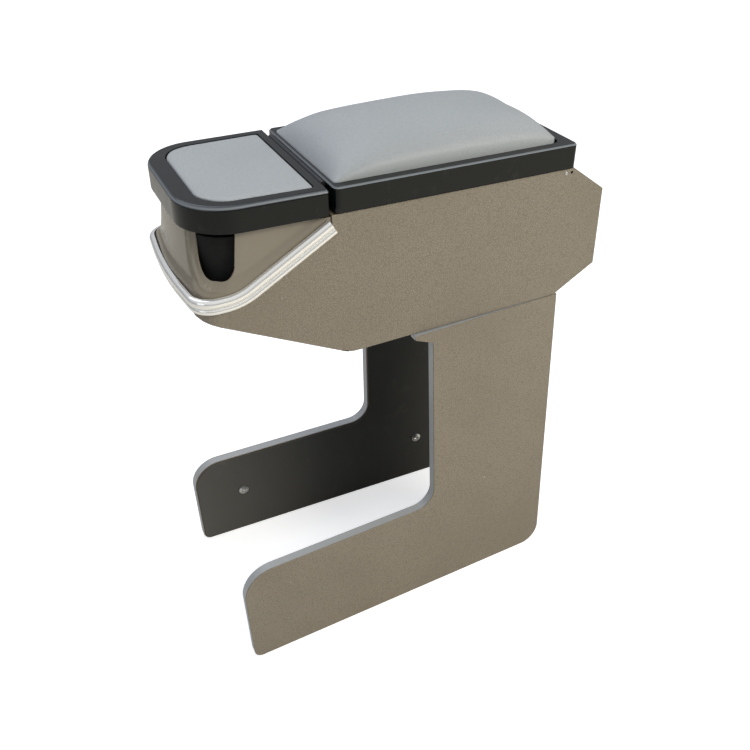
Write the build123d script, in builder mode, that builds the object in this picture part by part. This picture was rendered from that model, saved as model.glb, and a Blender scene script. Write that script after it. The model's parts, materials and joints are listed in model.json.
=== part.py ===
"""Armrest console that straddles the tunnel between two car seats.

A boarded box wrapped in vinyl stands on two splayed L-shaped legs. A moulded nose closes
its front end, a bright trim strip runs round the joint, and two hinged lids close the top.
Millimetres: -X is the nose, +Z is up, and the origin is the middle of the footprint.
"""

import os
from math import cos, hypot, radians, sin, tan

from build123d import *

os.makedirs("parts", exist_ok=True)

# Lengths along the console, from the nose to the tail
nose_reach = 9.7
front_lid_length = 103.7
lid_gap = 5.8
rear_lid_length = 212.8
tail_reach = 32.0
overall_length = nose_reach + front_lid_length + lid_gap + rear_lid_length + tail_reach

# Body box
body_width = 140.0
floor_z = 301.0
body_depth = 123.5
vinyl = 1.0
board = 8.0
slope_foot_setback = 8.0
bottom_corner_radius = 30.0
chin_setback = 11.5
chin_height = 5.5
tail_foot_setback = 38.5
tail_low_rise = 21.5
tail_high_drop = 31.5
nose_height = 51.0
rim_knee_setback = 41.0
rim_end_drop = 9.3
rim_drop = 7.0
side_step = 2.5
plan_corner_setback = 10.0
plan_corner_radius = 16.0
plan_bow_radius = 400.0
plan_bow_cut = 1.4
divider_thickness = 8.0

# Lids, all in a plane that falls towards the tail
lid_fall = 0.03
lid_rest_gap = 1.0
lid_height = 20.0
lid_wall = 3.0
rear_lid_overhang = 1.5
rear_lid_radius = 4.5
rear_lid_chamfer = 1.2
rear_side_bar = 9.0
rear_front_bar = 3.0
rear_back_bar = 11.0
front_lid_overhang = 2.5
front_lid_taper = 1.5
front_lid_radius = 40.0
front_lid_edge = 3.5
front_side_bar = 9.5
front_front_bar = 14.7
front_back_bar = 6.2
pad_radius = 25.0
pad_rear_radius = 3.0
pad_edge = 1.1
lid_base = 4.0
lid_base_lift = 1.0
cushion_rear_radius = 8.0
cushion_front_radius = 2.5
cushion_crown = 24.6
crown_power = 2.54
crown_root = 2.71
crown_step = 0.2
crown_shares = [-1.0, -0.97, -0.9, -0.8, -0.65, -0.45, -0.2, 0.2, 0.45, 0.65, 0.8, 0.9, 0.97, 1.0]
crown_stations = [
    (0.0, 0.07),
    (0.03, 0.34),
    (0.08, 0.55),
    (0.2, 0.848),
    (0.4, 0.96),
    (0.6, 1.0),
    (0.8, 0.857),
    (0.92, 0.667),
    (0.97, 0.45),
    (1.0, 0.07),
]
pad_crown = 1.2
fit_gap = 0.3
cut_spare = 5.0

# Moulded nose and the tub inside it
nose_wall = 2.5
nose_inset = 3.0
nose_top_inset = 4.5
nose_top_back = 9.5
nose_top_flat = 34.0
nose_bow_radius = 250.0
nose_spare = 5.0
nose_lid_gap = 2.7
lip_height = 8.5
notch_width = 26.0
notch_depth = 36.0
notch_radius = 12.0
notch_turn = 56.0
tub_side_clearance = 10.0
tub_wall = 2.0
tub_front_clearance = 3.0
tub_radius = 34.0
tub_rear_radius = 6.0
tub_rim_drop = 5.5
tub_screw_spacing = 80.0
cleat_depth = 16.0
cleat_height = 10.0
rail_screw_setback = 10.0
cleat_screw_setback = 10.5

# Bright trim strip
trim_width = 12.6
trim_depth = 4.5
trim_knee_radius = 44.0

# Legs
leg_top_gap = 1.0
leg_rear_setback = 36.0
arm_depth = 128.0
foot_length = 325.0
foot_height = 106.0
leg_toe = 1.83
leg_splay = 1.95
foot_nose_radius = 29.0
foot_toe_radius = 8.0
foot_heel_radius = 20.0
leg_bend_radius = 20.0
ear_length = 17.0
ear_depth = 11.0
ear_tip = 3.5
lining = 1.5
lining_margin = 2.0
lining_front_setback = 275.0
lining_front_height = 57.5
lining_rear_setback = 69.0
lining_rear_height = 56.5

# Cross plate, brackets and fasteners
plate_thickness = 12.0
plate_setback = 15.0
plate_rear_margin = 4.0
bracket_width = 22.0
bracket_plate_arm = 30.0
bracket_leg_arm = 34.0
bracket_steel = 2.0
bracket_front_setback = 104.0
bracket_rear_setback = 24.0
bracket_near_hole = 13.0
bracket_far_hole = 24.0
wood_screw_radius = 1.6
wood_screw_length = 7.0
wood_head_radius = 3.6
wood_head_height = 2.0
recess_length = 0.85
recess_width = 0.28
recess_depth = 0.55
lining_head_radius = 5.2
lining_head_height = 2.2
bolt_radius = 3.0
bolt_head_radius = 5.5
bolt_head_height = 3.3
nut_radius = 5.8
nut_height = 5.0
bolt_spacing_x = 70.0
bolt_spacing_y = 40.0

# Hinges
rear_pin_radius = 1.3
rear_knuckle_radius = 2.5
rear_hinge_width = 100.0
rear_leaf = 1.2
rear_leaf_length = 15.0
front_pin_radius = 1.0
front_knuckle_radius = 2.4
front_hinge_width = 112.0
front_leaf = 1.0
front_axis_drop = 2.3
front_leaf_bite = 16.0
knuckle_count = 5
knuckle_gap = 0.4
running_gap = 0.06
hinge_clearance = 0.35
hinge_screw_radius = 2.6
hinge_screw_height = 1.0
hinge_screw_bite = 6.0

# Small nail and empty nail hole near the top rear corner of each side
nail_setback = 7.8
nail_drop = 10.6
nail_radius = 0.7
nail_length = 7.0
nail_head_radius = 1.5
nail_head_height = 0.6
nail_hole_setback = 2.4
nail_hole_radius = 1.2
nail_hole_depth = 4.0

# Rubber bumpers under the lids
bumper_length = 12.0
bumper_width = 2.4
bumper_span = 60.0

# Places that follow from the sizes above
nose_x = -overall_length / 2
tail_x = overall_length / 2
front_lid_nose_x = nose_x + nose_reach
front_lid_back_x = front_lid_nose_x + front_lid_length
split_x = front_lid_back_x + lid_gap
rear_lid_back_x = split_x + rear_lid_length
half = body_width / 2
rear_lid_width = body_width + 2 * rear_lid_overhang
front_lid_width = body_width + 2 * front_lid_overhang
plan_front_x = nose_x + trim_depth - plan_bow_cut
plan_corner_x = nose_x + plan_corner_setback
nose_chin_x = nose_x + chin_setback
rim_knee_x = nose_x + rim_knee_setback
side_front_x = split_x - side_step
slope_foot_x = side_front_x + slope_foot_setback
tail_foot_x = tail_x - tail_foot_setback
leg_rear_x = tail_x - leg_rear_setback
nail_x = rear_lid_back_x - nail_setback
nail_hole_x = rear_lid_back_x - nail_hole_setback
lid_seat_z = floor_z + body_depth
rim_z = lid_seat_z - nose_height
rim_end_z = lid_seat_z - rim_end_drop
chin_z = rim_z - rim_drop - chin_height
slope_rise = (chin_z - floor_z) / (slope_foot_x - nose_chin_x)
tail_low_z = floor_z + tail_low_rise
tail_high_z = lid_seat_z - tail_high_drop
nail_z = lid_seat_z - nail_drop
tub_top_z = lid_seat_z - tub_rim_drop
tub_width = body_width - 2 * tub_side_clearance
nose_top_radius = half - nose_top_flat
leg_top_z = floor_z - leg_top_gap
inner_half = half - vinyl - board
floor_top = floor_z + board
plate_bottom = floor_z - plate_thickness
leg_thickness = vinyl + board + lining
arm_front_x = leg_rear_x - arm_depth

# Plane of the lids: x rearwards from the split, z out of the lid
lid_plane = Plane(
    origin=(split_x, 0, lid_seat_z),
    x_dir=(1, 0, -lid_fall),
    z_dir=(lid_fall, 0, 1),
)


def body_top(x):
    """Height of the body's top edge, a small gap below the lids."""
    return lid_seat_z - lid_rest_gap * hypot(1, lid_fall) - lid_fall * (x - split_x)


def slope_z(x):
    """Height of the outer face of the sloping underside."""
    return floor_z + slope_rise * (slope_foot_x - x)


def moved_edges(points, insets):
    """Corners of an anticlockwise outline after each edge moves inwards by its own inset."""
    count = len(points)
    lines = []
    for i, (x, z) in enumerate(points):
        next_x, next_z = points[(i + 1) % count]
        run = hypot(next_x - x, next_z - z)
        direction = ((next_x - x) / run, (next_z - z) / run)
        normal = (-direction[1], direction[0])
        lines.append(((x + normal[0] * insets[i], z + normal[1] * insets[i]), direction))
    corners = []
    for i in range(count):
        (ax, az), (adx, adz) = lines[i - 1]
        (bx, bz), (bdx, bdz) = lines[i]
        along = ((bx - ax) * bdz - (bz - az) * bdx) / (adx * bdz - adz * bdx)
        corners.append((ax + adx * along, az + adz * along))
    return corners


def write(shape, name):
    """Labels a finished piece and writes it to its own file."""
    shape.label = name
    export_step(shape, f"parts/{name}.step")


def mirrored(shape):
    """The same piece on the other side of the console."""
    return mirror(shape, about=Plane.XZ)


def write_pair(left_shape, name):
    """Writes a left piece and its mirror image on the right."""
    write(left_shape, f"left_{name}")
    write(mirrored(left_shape), f"right_{name}")


def fastener_group(planes, shank_radius, shank_length, head_radius, head_height):
    """One solid for each plane: a domed head on the plane and a shank behind it."""
    with BuildPart() as group:
        with Locations(*planes):
            Cylinder(shank_radius, shank_length, align=(Align.CENTER, Align.CENTER, Align.MAX))
            Cylinder(head_radius, head_height / 2, align=(Align.CENTER, Align.CENTER, Align.MIN))
        with Locations(*[plane.offset(head_height / 2) for plane in planes]):
            Cone(
                head_radius,
                0.55 * head_radius,
                head_height / 2,
                align=(Align.CENTER, Align.CENTER, Align.MIN),
            )
        with Locations(*[plane.offset(head_height) for plane in planes]):
            for turn in (0, 90):
                Box(
                    recess_length * head_radius,
                    recess_width * head_radius,
                    recess_depth * head_height,
                    rotation=(0, 0, turn),
                    align=(Align.CENTER, Align.CENTER, Align.MAX),
                    mode=Mode.SUBTRACT,
                )
    return group.part


def bored(shape, planes, radius, length):
    """The shape with a hole behind each plane."""
    with BuildPart() as piece:
        add(shape)
        with Locations(*planes):
            Cylinder(
                radius,
                length,
                align=(Align.CENTER, Align.CENTER, Align.MAX),
                mode=Mode.SUBTRACT,
            )
    return piece.part


# Side view of the body, anticlockwise from the foot of the sloping underside
body_outline = [
    (slope_foot_x, floor_z),
    (tail_foot_x, floor_z),
    (tail_x, tail_low_z),
    (tail_x, tail_high_z),
    (rear_lid_back_x, body_top(rear_lid_back_x)),
    (side_front_x, body_top(side_front_x)),
    (side_front_x, rim_end_z),
    (rim_knee_x, rim_z),
    (plan_front_x, rim_z),
    (plan_front_x, rim_z - rim_drop),
    (nose_chin_x, chin_z),
]
# What covers each edge of the outline, in the same order
edge_names = [
    "floor_board",
    "tail_low_board",
    "tail_board",
    "tail_high_board",
    "top",
    "step",
    "rising rim",
    "level rim",
    "nose",
    "chin",
    "slope_board",
]
bare_edges = ["floor_board", "top", "step", "rising rim", "level rim"]
core_insets = [0 if name in bare_edges else vinyl for name in edge_names]
skin_insets = [-cut_spare if name in bare_edges else vinyl for name in edge_names]
inner_insets = [inset + board for inset in core_insets]
core_outline = moved_edges(body_outline, core_insets)
inner_outline = moved_edges(body_outline, inner_insets)


def inside_slope_z(x):
    """Height of the sloping board's inner face."""
    return inner_outline[0][1] + slope_rise * (inner_outline[0][0] - x)


def side_view(points, corner_radius):
    """Face of a side-view outline, its first corner rounded."""
    with BuildSketch(Plane.XZ) as view:
        with BuildLine():
            Polyline(*points, close=True)
        make_face()
        if corner_radius:
            foot = view.vertices().sort_by_distance(Vector(*points[0], 0))[0]
            fillet(foot, radius=corner_radius)
    return view.sketch


def plan_view(inset, height=0.0):
    """Face of the body seen from above: square tail, rounded front corners and a bowed nose."""
    side = half - inset
    with BuildSketch(Plane.XY.offset(height)) as view:
        with BuildLine():
            nose = FilletPolyline(
                (tail_x - inset, side),
                (plan_corner_x + inset, side),
                (plan_front_x + inset, 0),
                (plan_corner_x + inset, -side),
                (tail_x - inset, -side),
                radius=[plan_corner_radius - inset, plan_bow_radius, plan_corner_radius - inset],
            )
            Line(nose @ 1, nose @ 0)
        make_face()
    return view.sketch


def body_block(points, corner_radius, inset):
    """Solid with a side-view outline, cut to the plan view at an inset."""
    with BuildPart() as block:
        extrude(side_view(points, corner_radius), amount=half, both=True)
        extrude(plan_view(inset), amount=2 * lid_seat_z, mode=Mode.INTERSECT)
    return block.part


# Solid block with the outline of the boards, used to trim them to the rounded corners
board_block = body_block(core_outline, bottom_corner_radius - vinyl, vinyl)
skin_hollow = body_block(moved_edges(body_outline, skin_insets), bottom_corner_radius - vinyl, vinyl)

# Vinyl skin: both sides, the sloping underside, the chin and the tail, open at the top and floor
with BuildPart() as body_cover:
    add(body_block(body_outline, bottom_corner_radius, 0))
    add(skin_hollow, mode=Mode.SUBTRACT)
nail_planes = [
    Plane(origin=(nail_x, side * half, nail_z), z_dir=(0, side, 0))
    for side in (1, -1)
]
hole_planes = [
    Plane(origin=(nail_hole_x, side * half, nail_z), z_dir=(0, side, 0))
    for side in (1, -1)
]
body_cover_bored = bored(
    bored(body_cover.part, nail_planes, nail_radius, nail_length),
    hole_planes,
    nail_hole_radius,
    nail_hole_depth,
)
write(
    fastener_group(nail_planes, nail_radius, nail_length, nail_head_radius, nail_head_height),
    "side_nails",
)

# Side boards, one each side, with the console's whole side view
with BuildPart() as right_side_board:
    add(board_block)
    with Locations((0, inner_half + half, 0)):
        Box(2 * overall_length, 2 * half, 4 * lid_seat_z, mode=Mode.INTERSECT)
right_side_bored = bored(
    bored(right_side_board.part, nail_planes[:1], nail_radius, nail_length),
    hole_planes[:1],
    nail_hole_radius,
    nail_hole_depth,
)
write(right_side_bored, "right_side_board")
write(mirrored(right_side_bored), "left_side_board")

# Bolts through the floor board, over the middle of the legs' arms
bolt_points = [
    (x + (arm_front_x + leg_rear_x) / 2, y)
    for x in (-bolt_spacing_x / 2, bolt_spacing_x / 2)
    for y in (-bolt_spacing_y / 2, bolt_spacing_y / 2)
]


def mitred_board(name):
    """One board between the side boards, mitred to the next along the side view."""
    edge = edge_names.index(name)
    nxt = (edge + 1) % len(core_outline)
    with BuildPart() as piece:
        with BuildSketch(Plane.XZ):
            with BuildLine():
                Polyline(
                    core_outline[edge],
                    core_outline[nxt],
                    inner_outline[nxt],
                    inner_outline[edge],
                    close=True,
                )
            make_face()
        extrude(amount=inner_half, both=True)
        add(board_block, mode=Mode.INTERSECT)
    return piece.part


with BuildPart() as floor_board:
    add(mitred_board("floor_board"))
    with Locations(*[(x, y, floor_z) for x, y in bolt_points]):
        Cylinder(bolt_radius, 2 * board, mode=Mode.SUBTRACT)
write(floor_board.part, "floor_board")
for name in ("tail_low_board", "tail_board", "slope_board"):
    write(mitred_board(name), name)

# Wedge rail behind the chin, which carries the nose and the front of the tub
rail_back_x = rim_knee_x
with BuildPart() as chin_rail:
    with BuildSketch(Plane.XZ):
        with BuildLine():
            Polyline(
                (rail_back_x, rim_z),
                core_outline[8],
                core_outline[9],
                core_outline[10],
                inner_outline[10],
                (rail_back_x, inside_slope_z(rail_back_x)),
                close=True,
            )
        make_face()
    extrude(amount=inner_half, both=True)
    add(board_block, mode=Mode.INTERSECT)

# Divider between the front tub and the bin, standing on the sloping board
divider_back_x = side_front_x + divider_thickness
with BuildPart() as divider:
    with BuildSketch(Plane.XZ):
        with BuildLine():
            Polyline(
                (side_front_x, inside_slope_z(side_front_x)),
                (divider_back_x, inside_slope_z(divider_back_x)),
                (divider_back_x, body_top(divider_back_x)),
                (side_front_x, body_top(side_front_x)),
                close=True,
            )
        make_face()
    extrude(amount=inner_half, both=True)

# Cleat on the divider under the back of the tub
with BuildPart() as tub_cleat:
    with Locations((side_front_x, 0, rim_z)):
        Box(cleat_depth, 2 * inner_half, cleat_height, align=(Align.MAX, Align.CENTER, Align.MAX))


def nose_plan(height, side, front_x, corner_radius, back_x):
    """Plan of the moulded nose at one height."""
    with BuildSketch(Plane.XY.offset(height)) as view:
        with BuildLine():
            edge = FilletPolyline(
                (back_x, side),
                (front_x + plan_corner_x - plan_front_x, side),
                (front_x, 0),
                (front_x + plan_corner_x - plan_front_x, -side),
                (back_x, -side),
                radius=[corner_radius, nose_bow_radius, corner_radius],
            )
            Line(edge @ 1, edge @ 0)
        make_face()
    return view.sketch


def nose_block(inset, back_x):
    """Tapering solid of the nose, drawn in by an inset from its outer faces."""
    top_z = lid_seat_z + nose_spare
    rise = (top_z - rim_z) / (lid_seat_z - rim_z)
    top_inset = nose_inset + (nose_top_inset - nose_inset) * rise
    top_back = nose_inset + (nose_top_back - nose_inset) * rise
    top_radius = plan_corner_radius + (nose_top_radius - plan_corner_radius) * rise
    foot = nose_plan(
        rim_z,
        half - nose_inset - inset,
        plan_front_x + nose_inset + inset,
        plan_corner_radius - inset,
        back_x,
    )
    head = nose_plan(
        top_z,
        half - top_inset - inset,
        plan_front_x + top_back + inset,
        top_radius - inset,
        back_x,
    )
    with BuildPart() as block:
        loft([foot.faces()[0], head.faces()[0]])
    return block.part


rim_outline = body_outline[6:9]
nose_top_plane = lid_plane.offset(-nose_lid_gap)

# Lip under the trim strip, flush with the vinyl
with BuildPart() as nose_lip:
    with BuildSketch(Plane.XZ):
        with BuildLine():
            Polyline(
                (side_front_x, rim_end_z),
                (side_front_x, rim_end_z + lip_height / cos(radians(28))),
                (rim_knee_x - 2, rim_z + lip_height),
                (nose_x - half, rim_z + lip_height),
                (nose_x - half, rim_z),
                (rim_knee_x, rim_z),
                close=True,
            )
        make_face()
    extrude(amount=half, both=True)
    extrude(plan_view(0), amount=2 * lid_seat_z, mode=Mode.INTERSECT)

corner_centre_x = plan_front_x + nose_top_back + nose_top_radius
corner_centre_y = half - nose_top_inset - nose_top_radius
notch_floor_z = lid_seat_z - notch_depth

# Moulded nose: tapering walls, lip, and a finger notch in each front corner
with BuildPart() as nose_shell:
    add(nose_block(0, side_front_x))
    with BuildSketch(Plane.XZ):
        with BuildLine():
            Polyline(
                *rim_outline,
                (nose_x - half, rim_z),
                (nose_x - half, 2 * rim_z),
                (side_front_x, 2 * rim_z),
                close=True,
            )
        make_face()
    extrude(amount=half, both=True, mode=Mode.INTERSECT)
    add(nose_lip.part)
    add(nose_block(nose_wall, side_front_x + half), mode=Mode.SUBTRACT)
    split(bisect_by=nose_top_plane, keep=Keep.BOTTOM)
    for side in (1, -1):
        outward = (-cos(radians(notch_turn)), side * sin(radians(notch_turn)), 0)
        notch_plane = Plane(
            origin=(corner_centre_x, side * corner_centre_y, notch_floor_z + 1.5 * notch_depth),
            x_dir=(-outward[1], outward[0], 0),
            z_dir=outward,
        )
        with BuildSketch(notch_plane) as notch:
            RectangleRounded(notch_width, 3 * notch_depth, notch_radius)
        extrude(amount=2 * nose_top_radius, mode=Mode.SUBTRACT)
write(nose_shell.part, "nose_shell")

# Black tub that drops into the nose, standing on the chin rail and the cleat
tub_front_x = plan_front_x + nose_top_back + nose_wall + tub_front_clearance
tub_back_x = side_front_x - front_leaf - hinge_screw_height - 2 * fit_gap
tub_length = tub_back_x - tub_front_x


def tub_block(inset, bottom_z):
    """Solid of the tub, drawn in by an inset, from one height up to its rim."""
    with BuildPart() as block:
        with BuildSketch(Plane.XY.offset(bottom_z)) as view:
            with Locations(((tub_front_x + tub_back_x) / 2, 0)):
                Rectangle(tub_length - 2 * inset, tub_width - 2 * inset)
            fillet(view.vertices().group_by(Axis.X)[0], radius=tub_radius - inset)
            fillet(view.vertices().group_by(Axis.X)[-1], radius=tub_rear_radius - inset)
        extrude(amount=tub_top_z - bottom_z)
    return block.part


with BuildPart() as front_tub:
    add(tub_block(0, rim_z))
    add(tub_block(tub_wall, rim_z + tub_wall), mode=Mode.SUBTRACT)
tub_screw_planes = [
    Plane(origin=(x, side * tub_screw_spacing / 2, rim_z + tub_wall))
    for x in (rail_back_x - rail_screw_setback, side_front_x - cleat_screw_setback)
    for side in (1, -1)
]
tub_screw_length = tub_wall + wood_screw_length
write(bored(front_tub.part, tub_screw_planes, wood_screw_radius, tub_screw_length), "front_tub")
write(bored(chin_rail.part, tub_screw_planes, wood_screw_radius, tub_screw_length), "chin_rail")
write(bored(tub_cleat.part, tub_screw_planes, wood_screw_radius, tub_screw_length), "tub_cleat")
write(
    fastener_group(
        tub_screw_planes,
        wood_screw_radius,
        tub_screw_length,
        wood_head_radius,
        wood_head_height,
    ),
    "tub_screws",
)

# Bright strip with two beads, swept round the joint between nose and vinyl
with BuildLine() as trim_path:
    FilletPolyline(
        (side_front_x, -half, rim_end_z),
        (rim_knee_x, -half, rim_z),
        (plan_corner_x, -half, rim_z),
        (plan_front_x, 0, rim_z),
        (plan_corner_x, half, rim_z),
        (rim_knee_x, half, rim_z),
        (side_front_x, half, rim_end_z),
        radius=[
            trim_knee_radius,
            plan_corner_radius,
            plan_bow_radius,
            plan_corner_radius,
            trim_knee_radius,
        ],
    )
trim_start = trim_path.wires()[0]
with BuildPart() as chrome_trim:
    with BuildSketch(
        Plane(origin=trim_start @ 0, x_dir=(0, -1, 0), z_dir=trim_start % 0)
    ) as bead:
        with BuildLine():
            upper = ThreePointArc(
                (0, trim_width / 2),
                (trim_depth, 0.22 * trim_width),
                (0.5 * trim_depth, -0.06 * trim_width),
            )
            lower = ThreePointArc(
                upper @ 1,
                (0.72 * trim_depth, -0.26 * trim_width),
                (0, -trim_width / 2),
            )
            Line(lower @ 1, upper @ 0)
        make_face()
    sweep(path=trim_start)
write(chrome_trim.part, "chrome_trim")

pad_opening_front = -lid_gap - front_lid_length + front_front_bar
pad_opening_back = -lid_gap - front_back_bar
pad_half = front_lid_width / 2 - front_side_bar
base_top = lid_base_lift + lid_base


def front_lid_view(height, inset):
    """Plan of the front lid: rounded nose corners and sides that taper to the nose."""
    back = -lid_gap - inset
    front = -lid_gap - front_lid_length + inset
    wide = front_lid_width / 2 - inset
    narrow = wide - front_lid_taper
    with BuildSketch(lid_plane.offset(height)) as view:
        with BuildLine():
            Polyline((back, wide), (front, narrow), (front, -narrow), (back, -wide), close=True)
        make_face()
        fillet(view.vertices().group_by(Axis.X)[0], radius=front_lid_radius - inset)
    return view.sketch


def front_pad_view(height, inset):
    """Plan of the front lid's pad, drawn in by an inset."""
    back = pad_opening_back - inset
    front = pad_opening_front + inset
    wide = pad_half - inset
    narrow = wide - 2 * front_lid_taper
    with BuildSketch(lid_plane.offset(height)) as view:
        with BuildLine():
            Polyline((back, wide), (front, narrow), (front, -narrow), (back, -wide), close=True)
        make_face()
        fillet(view.vertices().group_by(Axis.X)[0], radius=pad_radius - inset)
        fillet(view.vertices().group_by(Axis.X)[-1], radius=pad_rear_radius - inset)
    return view.sketch


# Front lid frame: a moulded tray turned over, with the pad's opening in its top
with BuildPart() as front_lid_frame:
    extrude(front_lid_view(0, 0), amount=lid_height)
    top_edges = front_lid_frame.faces().sort_by(Axis.Z)[-1].edges()
    fillet(top_edges.sort_by(Axis.X)[:-1], radius=front_lid_edge)
    extrude(front_lid_view(0, lid_wall), amount=lid_height - lid_wall, mode=Mode.SUBTRACT)
    extrude(front_pad_view(0, 0), amount=2 * lid_height, mode=Mode.SUBTRACT)

with BuildPart() as front_lid_base:
    extrude(front_lid_view(lid_base_lift, lid_wall + fit_gap / 3), amount=lid_base)
write(front_lid_base.part, "front_lid_base")

with BuildPart() as front_lid_pad:
    extrude(front_pad_view(base_top, fit_gap), amount=lid_height + pad_crown - base_top)
    fillet(front_lid_pad.faces().sort_by(Axis.Z)[-1].edges(), radius=pad_edge)
write(front_lid_pad.part, "front_lid_pad")


def rear_lid_view(height, inset):
    """Plan of the rear lid, drawn in by an inset."""
    with BuildSketch(lid_plane.offset(height)) as view:
        with Locations((rear_lid_length / 2, 0)):
            Rectangle(rear_lid_length - 2 * inset, rear_lid_width - 2 * inset)
        fillet(view.vertices(), radius=rear_lid_radius - inset)
    return view.sketch


def cushion_view(height, inset):
    """Plan of the cushion's opening, drawn in by an inset."""
    long_side = rear_lid_length - rear_front_bar - rear_back_bar - 2 * inset
    with BuildSketch(lid_plane.offset(height)) as view:
        with Locations((rear_front_bar + inset, 0)):
            Rectangle(
                long_side,
                rear_lid_width - 2 * rear_side_bar - 2 * inset,
                align=(Align.MIN, Align.CENTER),
            )
        fillet(view.vertices().group_by(Axis.X)[-1], radius=cushion_rear_radius - inset)
        fillet(view.vertices().group_by(Axis.X)[0], radius=cushion_front_radius - inset)
    return view.sketch


# Rear lid frame, square shouldered, with the cushion's opening in its top
with BuildPart() as rear_lid_frame:
    extrude(rear_lid_view(0, 0), amount=lid_height)
    chamfer(rear_lid_frame.faces().sort_by(Axis.Z)[-1].edges(), length=rear_lid_chamfer)
    extrude(rear_lid_view(0, lid_wall), amount=lid_height - lid_wall, mode=Mode.SUBTRACT)
    extrude(cushion_view(0, 0), amount=2 * lid_height, mode=Mode.SUBTRACT)

with BuildPart() as rear_lid_base:
    extrude(rear_lid_view(lid_base_lift, lid_wall + fit_gap / 3), amount=lid_base)
write(rear_lid_base.part, "rear_lid_base")

# Armrest cushion: a straight wall in the frame, then a crown lofted from front to rear
cushion_front = rear_front_bar + fit_gap
cushion_length = rear_lid_length - rear_front_bar - rear_back_bar - 2 * fit_gap
cushion_half = rear_lid_width / 2 - rear_side_bar - fit_gap


def crown_section(place, height):
    """Upright section of the crown at a share of the cushion's length."""
    reach = crown_step + place * (cushion_length - 2 * crown_step)
    origin = lid_plane.from_local_coords(Vector(cushion_front + reach, 0, lid_height))
    side = cushion_half - crown_step
    with BuildSketch(Plane(origin=origin, x_dir=(0, 1, 0), z_dir=lid_plane.x_dir)) as section:
        with BuildLine():
            top = Spline(
                *[
                    (
                        share * side,
                        height * cushion_crown * (1 - abs(share) ** crown_power) ** (1 / crown_root),
                    )
                    for share in crown_shares
                ]
            )
            Polyline(
                top @ 1,
                (side, -pad_crown),
                (-side, -pad_crown),
                top @ 0,
            )
        make_face()
    return section.sketch.faces()[0]


with BuildPart() as cushion_top:
    loft([crown_section(place, height) for place, height in crown_stations])
    extrude(cushion_view(base_top, fit_gap), amount=3 * lid_height, mode=Mode.INTERSECT)
with BuildPart() as rear_cushion:
    extrude(cushion_view(base_top, fit_gap), amount=lid_height - base_top)
    add(cushion_top.part)
write(rear_cushion.part, "rear_cushion")


# Legs, each an L in side view, cut from slabs that splay outwards and toe outwards
foot_front_x = leg_rear_x - foot_length
ear_front_x = arm_front_x - ear_length
leg_outline = [
    (leg_rear_x, 0),
    (leg_rear_x, leg_top_z),
    (ear_front_x, leg_top_z),
    (ear_front_x, leg_top_z - ear_tip),
    (arm_front_x, leg_top_z - ear_depth),
    (arm_front_x, foot_height),
    (foot_front_x, foot_height),
    (foot_front_x, 0),
]
leg_plane = Plane(
    origin=(leg_rear_x, -half, leg_top_z),
    x_dir=(1, tan(radians(leg_toe)), 0),
    z_dir=(tan(radians(leg_toe)), -1, tan(radians(leg_splay))),
)


def leg_block(inset, bottom_inset):
    """Prism of a leg's side view with every edge but the bottom moved in by an inset."""
    corners = moved_edges(leg_outline, [inset for corner in leg_outline[:-1]] + [bottom_inset])
    heel, *plain, bend, nose, toe = corners
    radii = [
        (heel, foot_heel_radius - inset),
        (bend, leg_bend_radius + inset),
        (nose, foot_nose_radius - inset),
        (toe, foot_toe_radius - inset),
    ]
    with BuildSketch(Plane.XZ) as view:
        with BuildLine():
            Polyline(*corners, close=True)
        make_face()
        for (x, z), radius in radii:
            fillet(view.vertices().sort_by_distance(Vector(x, z, 0))[0], radius=radius)
    with BuildPart() as block:
        extrude(view.sketch, amount=body_width, both=True)
    return block.part


def leg_slab(outer_depth, inner_depth):
    """Slab behind a leg's outer plane, from one depth to the next."""
    with BuildPart() as slab:
        with Locations(leg_plane.offset(-outer_depth)):
            Box(
                4 * overall_length,
                4 * overall_length,
                inner_depth - outer_depth,
                align=(Align.CENTER, Align.CENTER, Align.MAX),
            )
    return slab.part


def leg_point(x, z, depth):
    """Point at one depth behind a leg's outer plane."""
    normal = leg_plane.z_dir
    reach = normal.X * (x - leg_rear_x) + normal.Z * (z - leg_top_z)
    return Vector(x, -half - (depth + reach) / normal.Y, z)


def inward_planes(places, depth):
    """Planes on a leg at one depth, facing the gap between the legs."""
    return [Plane(origin=leg_point(x, z, depth), z_dir=-leg_plane.z_dir) for x, z in places]


bracket_centres = [leg_rear_x - bracket_front_setback, leg_rear_x - bracket_rear_setback]
bracket_holes = [bracket_near_hole, bracket_far_hole]
bracket_side_places = [
    (x, plate_bottom - hole)
    for x in bracket_centres
    for hole in bracket_holes
]
bracket_side_planes = inward_planes(bracket_side_places, leg_thickness + bracket_steel)
bracket_screw_length = bracket_steel + wood_screw_length
lining_places = [
    (leg_rear_x - lining_front_setback, lining_front_height),
    (leg_rear_x - lining_rear_setback, lining_rear_height),
]
lining_screw_planes = inward_planes(lining_places, leg_thickness)

with BuildPart() as leg_board:
    add(leg_block(vinyl, 0))
    add(leg_slab(vinyl, vinyl + board), mode=Mode.INTERSECT)
leg_board_bored = bored(
    bored(leg_board.part, bracket_side_planes, wood_screw_radius, bracket_screw_length),
    lining_screw_planes,
    wood_screw_radius,
    wood_screw_length,
)
write_pair(leg_board_bored, "leg_board")

with BuildPart() as leg_cover:
    add(leg_block(0, 0))
    add(leg_slab(0, vinyl), mode=Mode.INTERSECT)
write_pair(leg_cover.part, "leg_cover")

with BuildPart() as leg_edge_band:
    add(leg_block(0, 0))
    add(leg_slab(vinyl, vinyl + board), mode=Mode.INTERSECT)
    add(leg_block(vinyl, -cut_spare), mode=Mode.SUBTRACT)
write_pair(leg_edge_band.part, "leg_edge_band")

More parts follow.
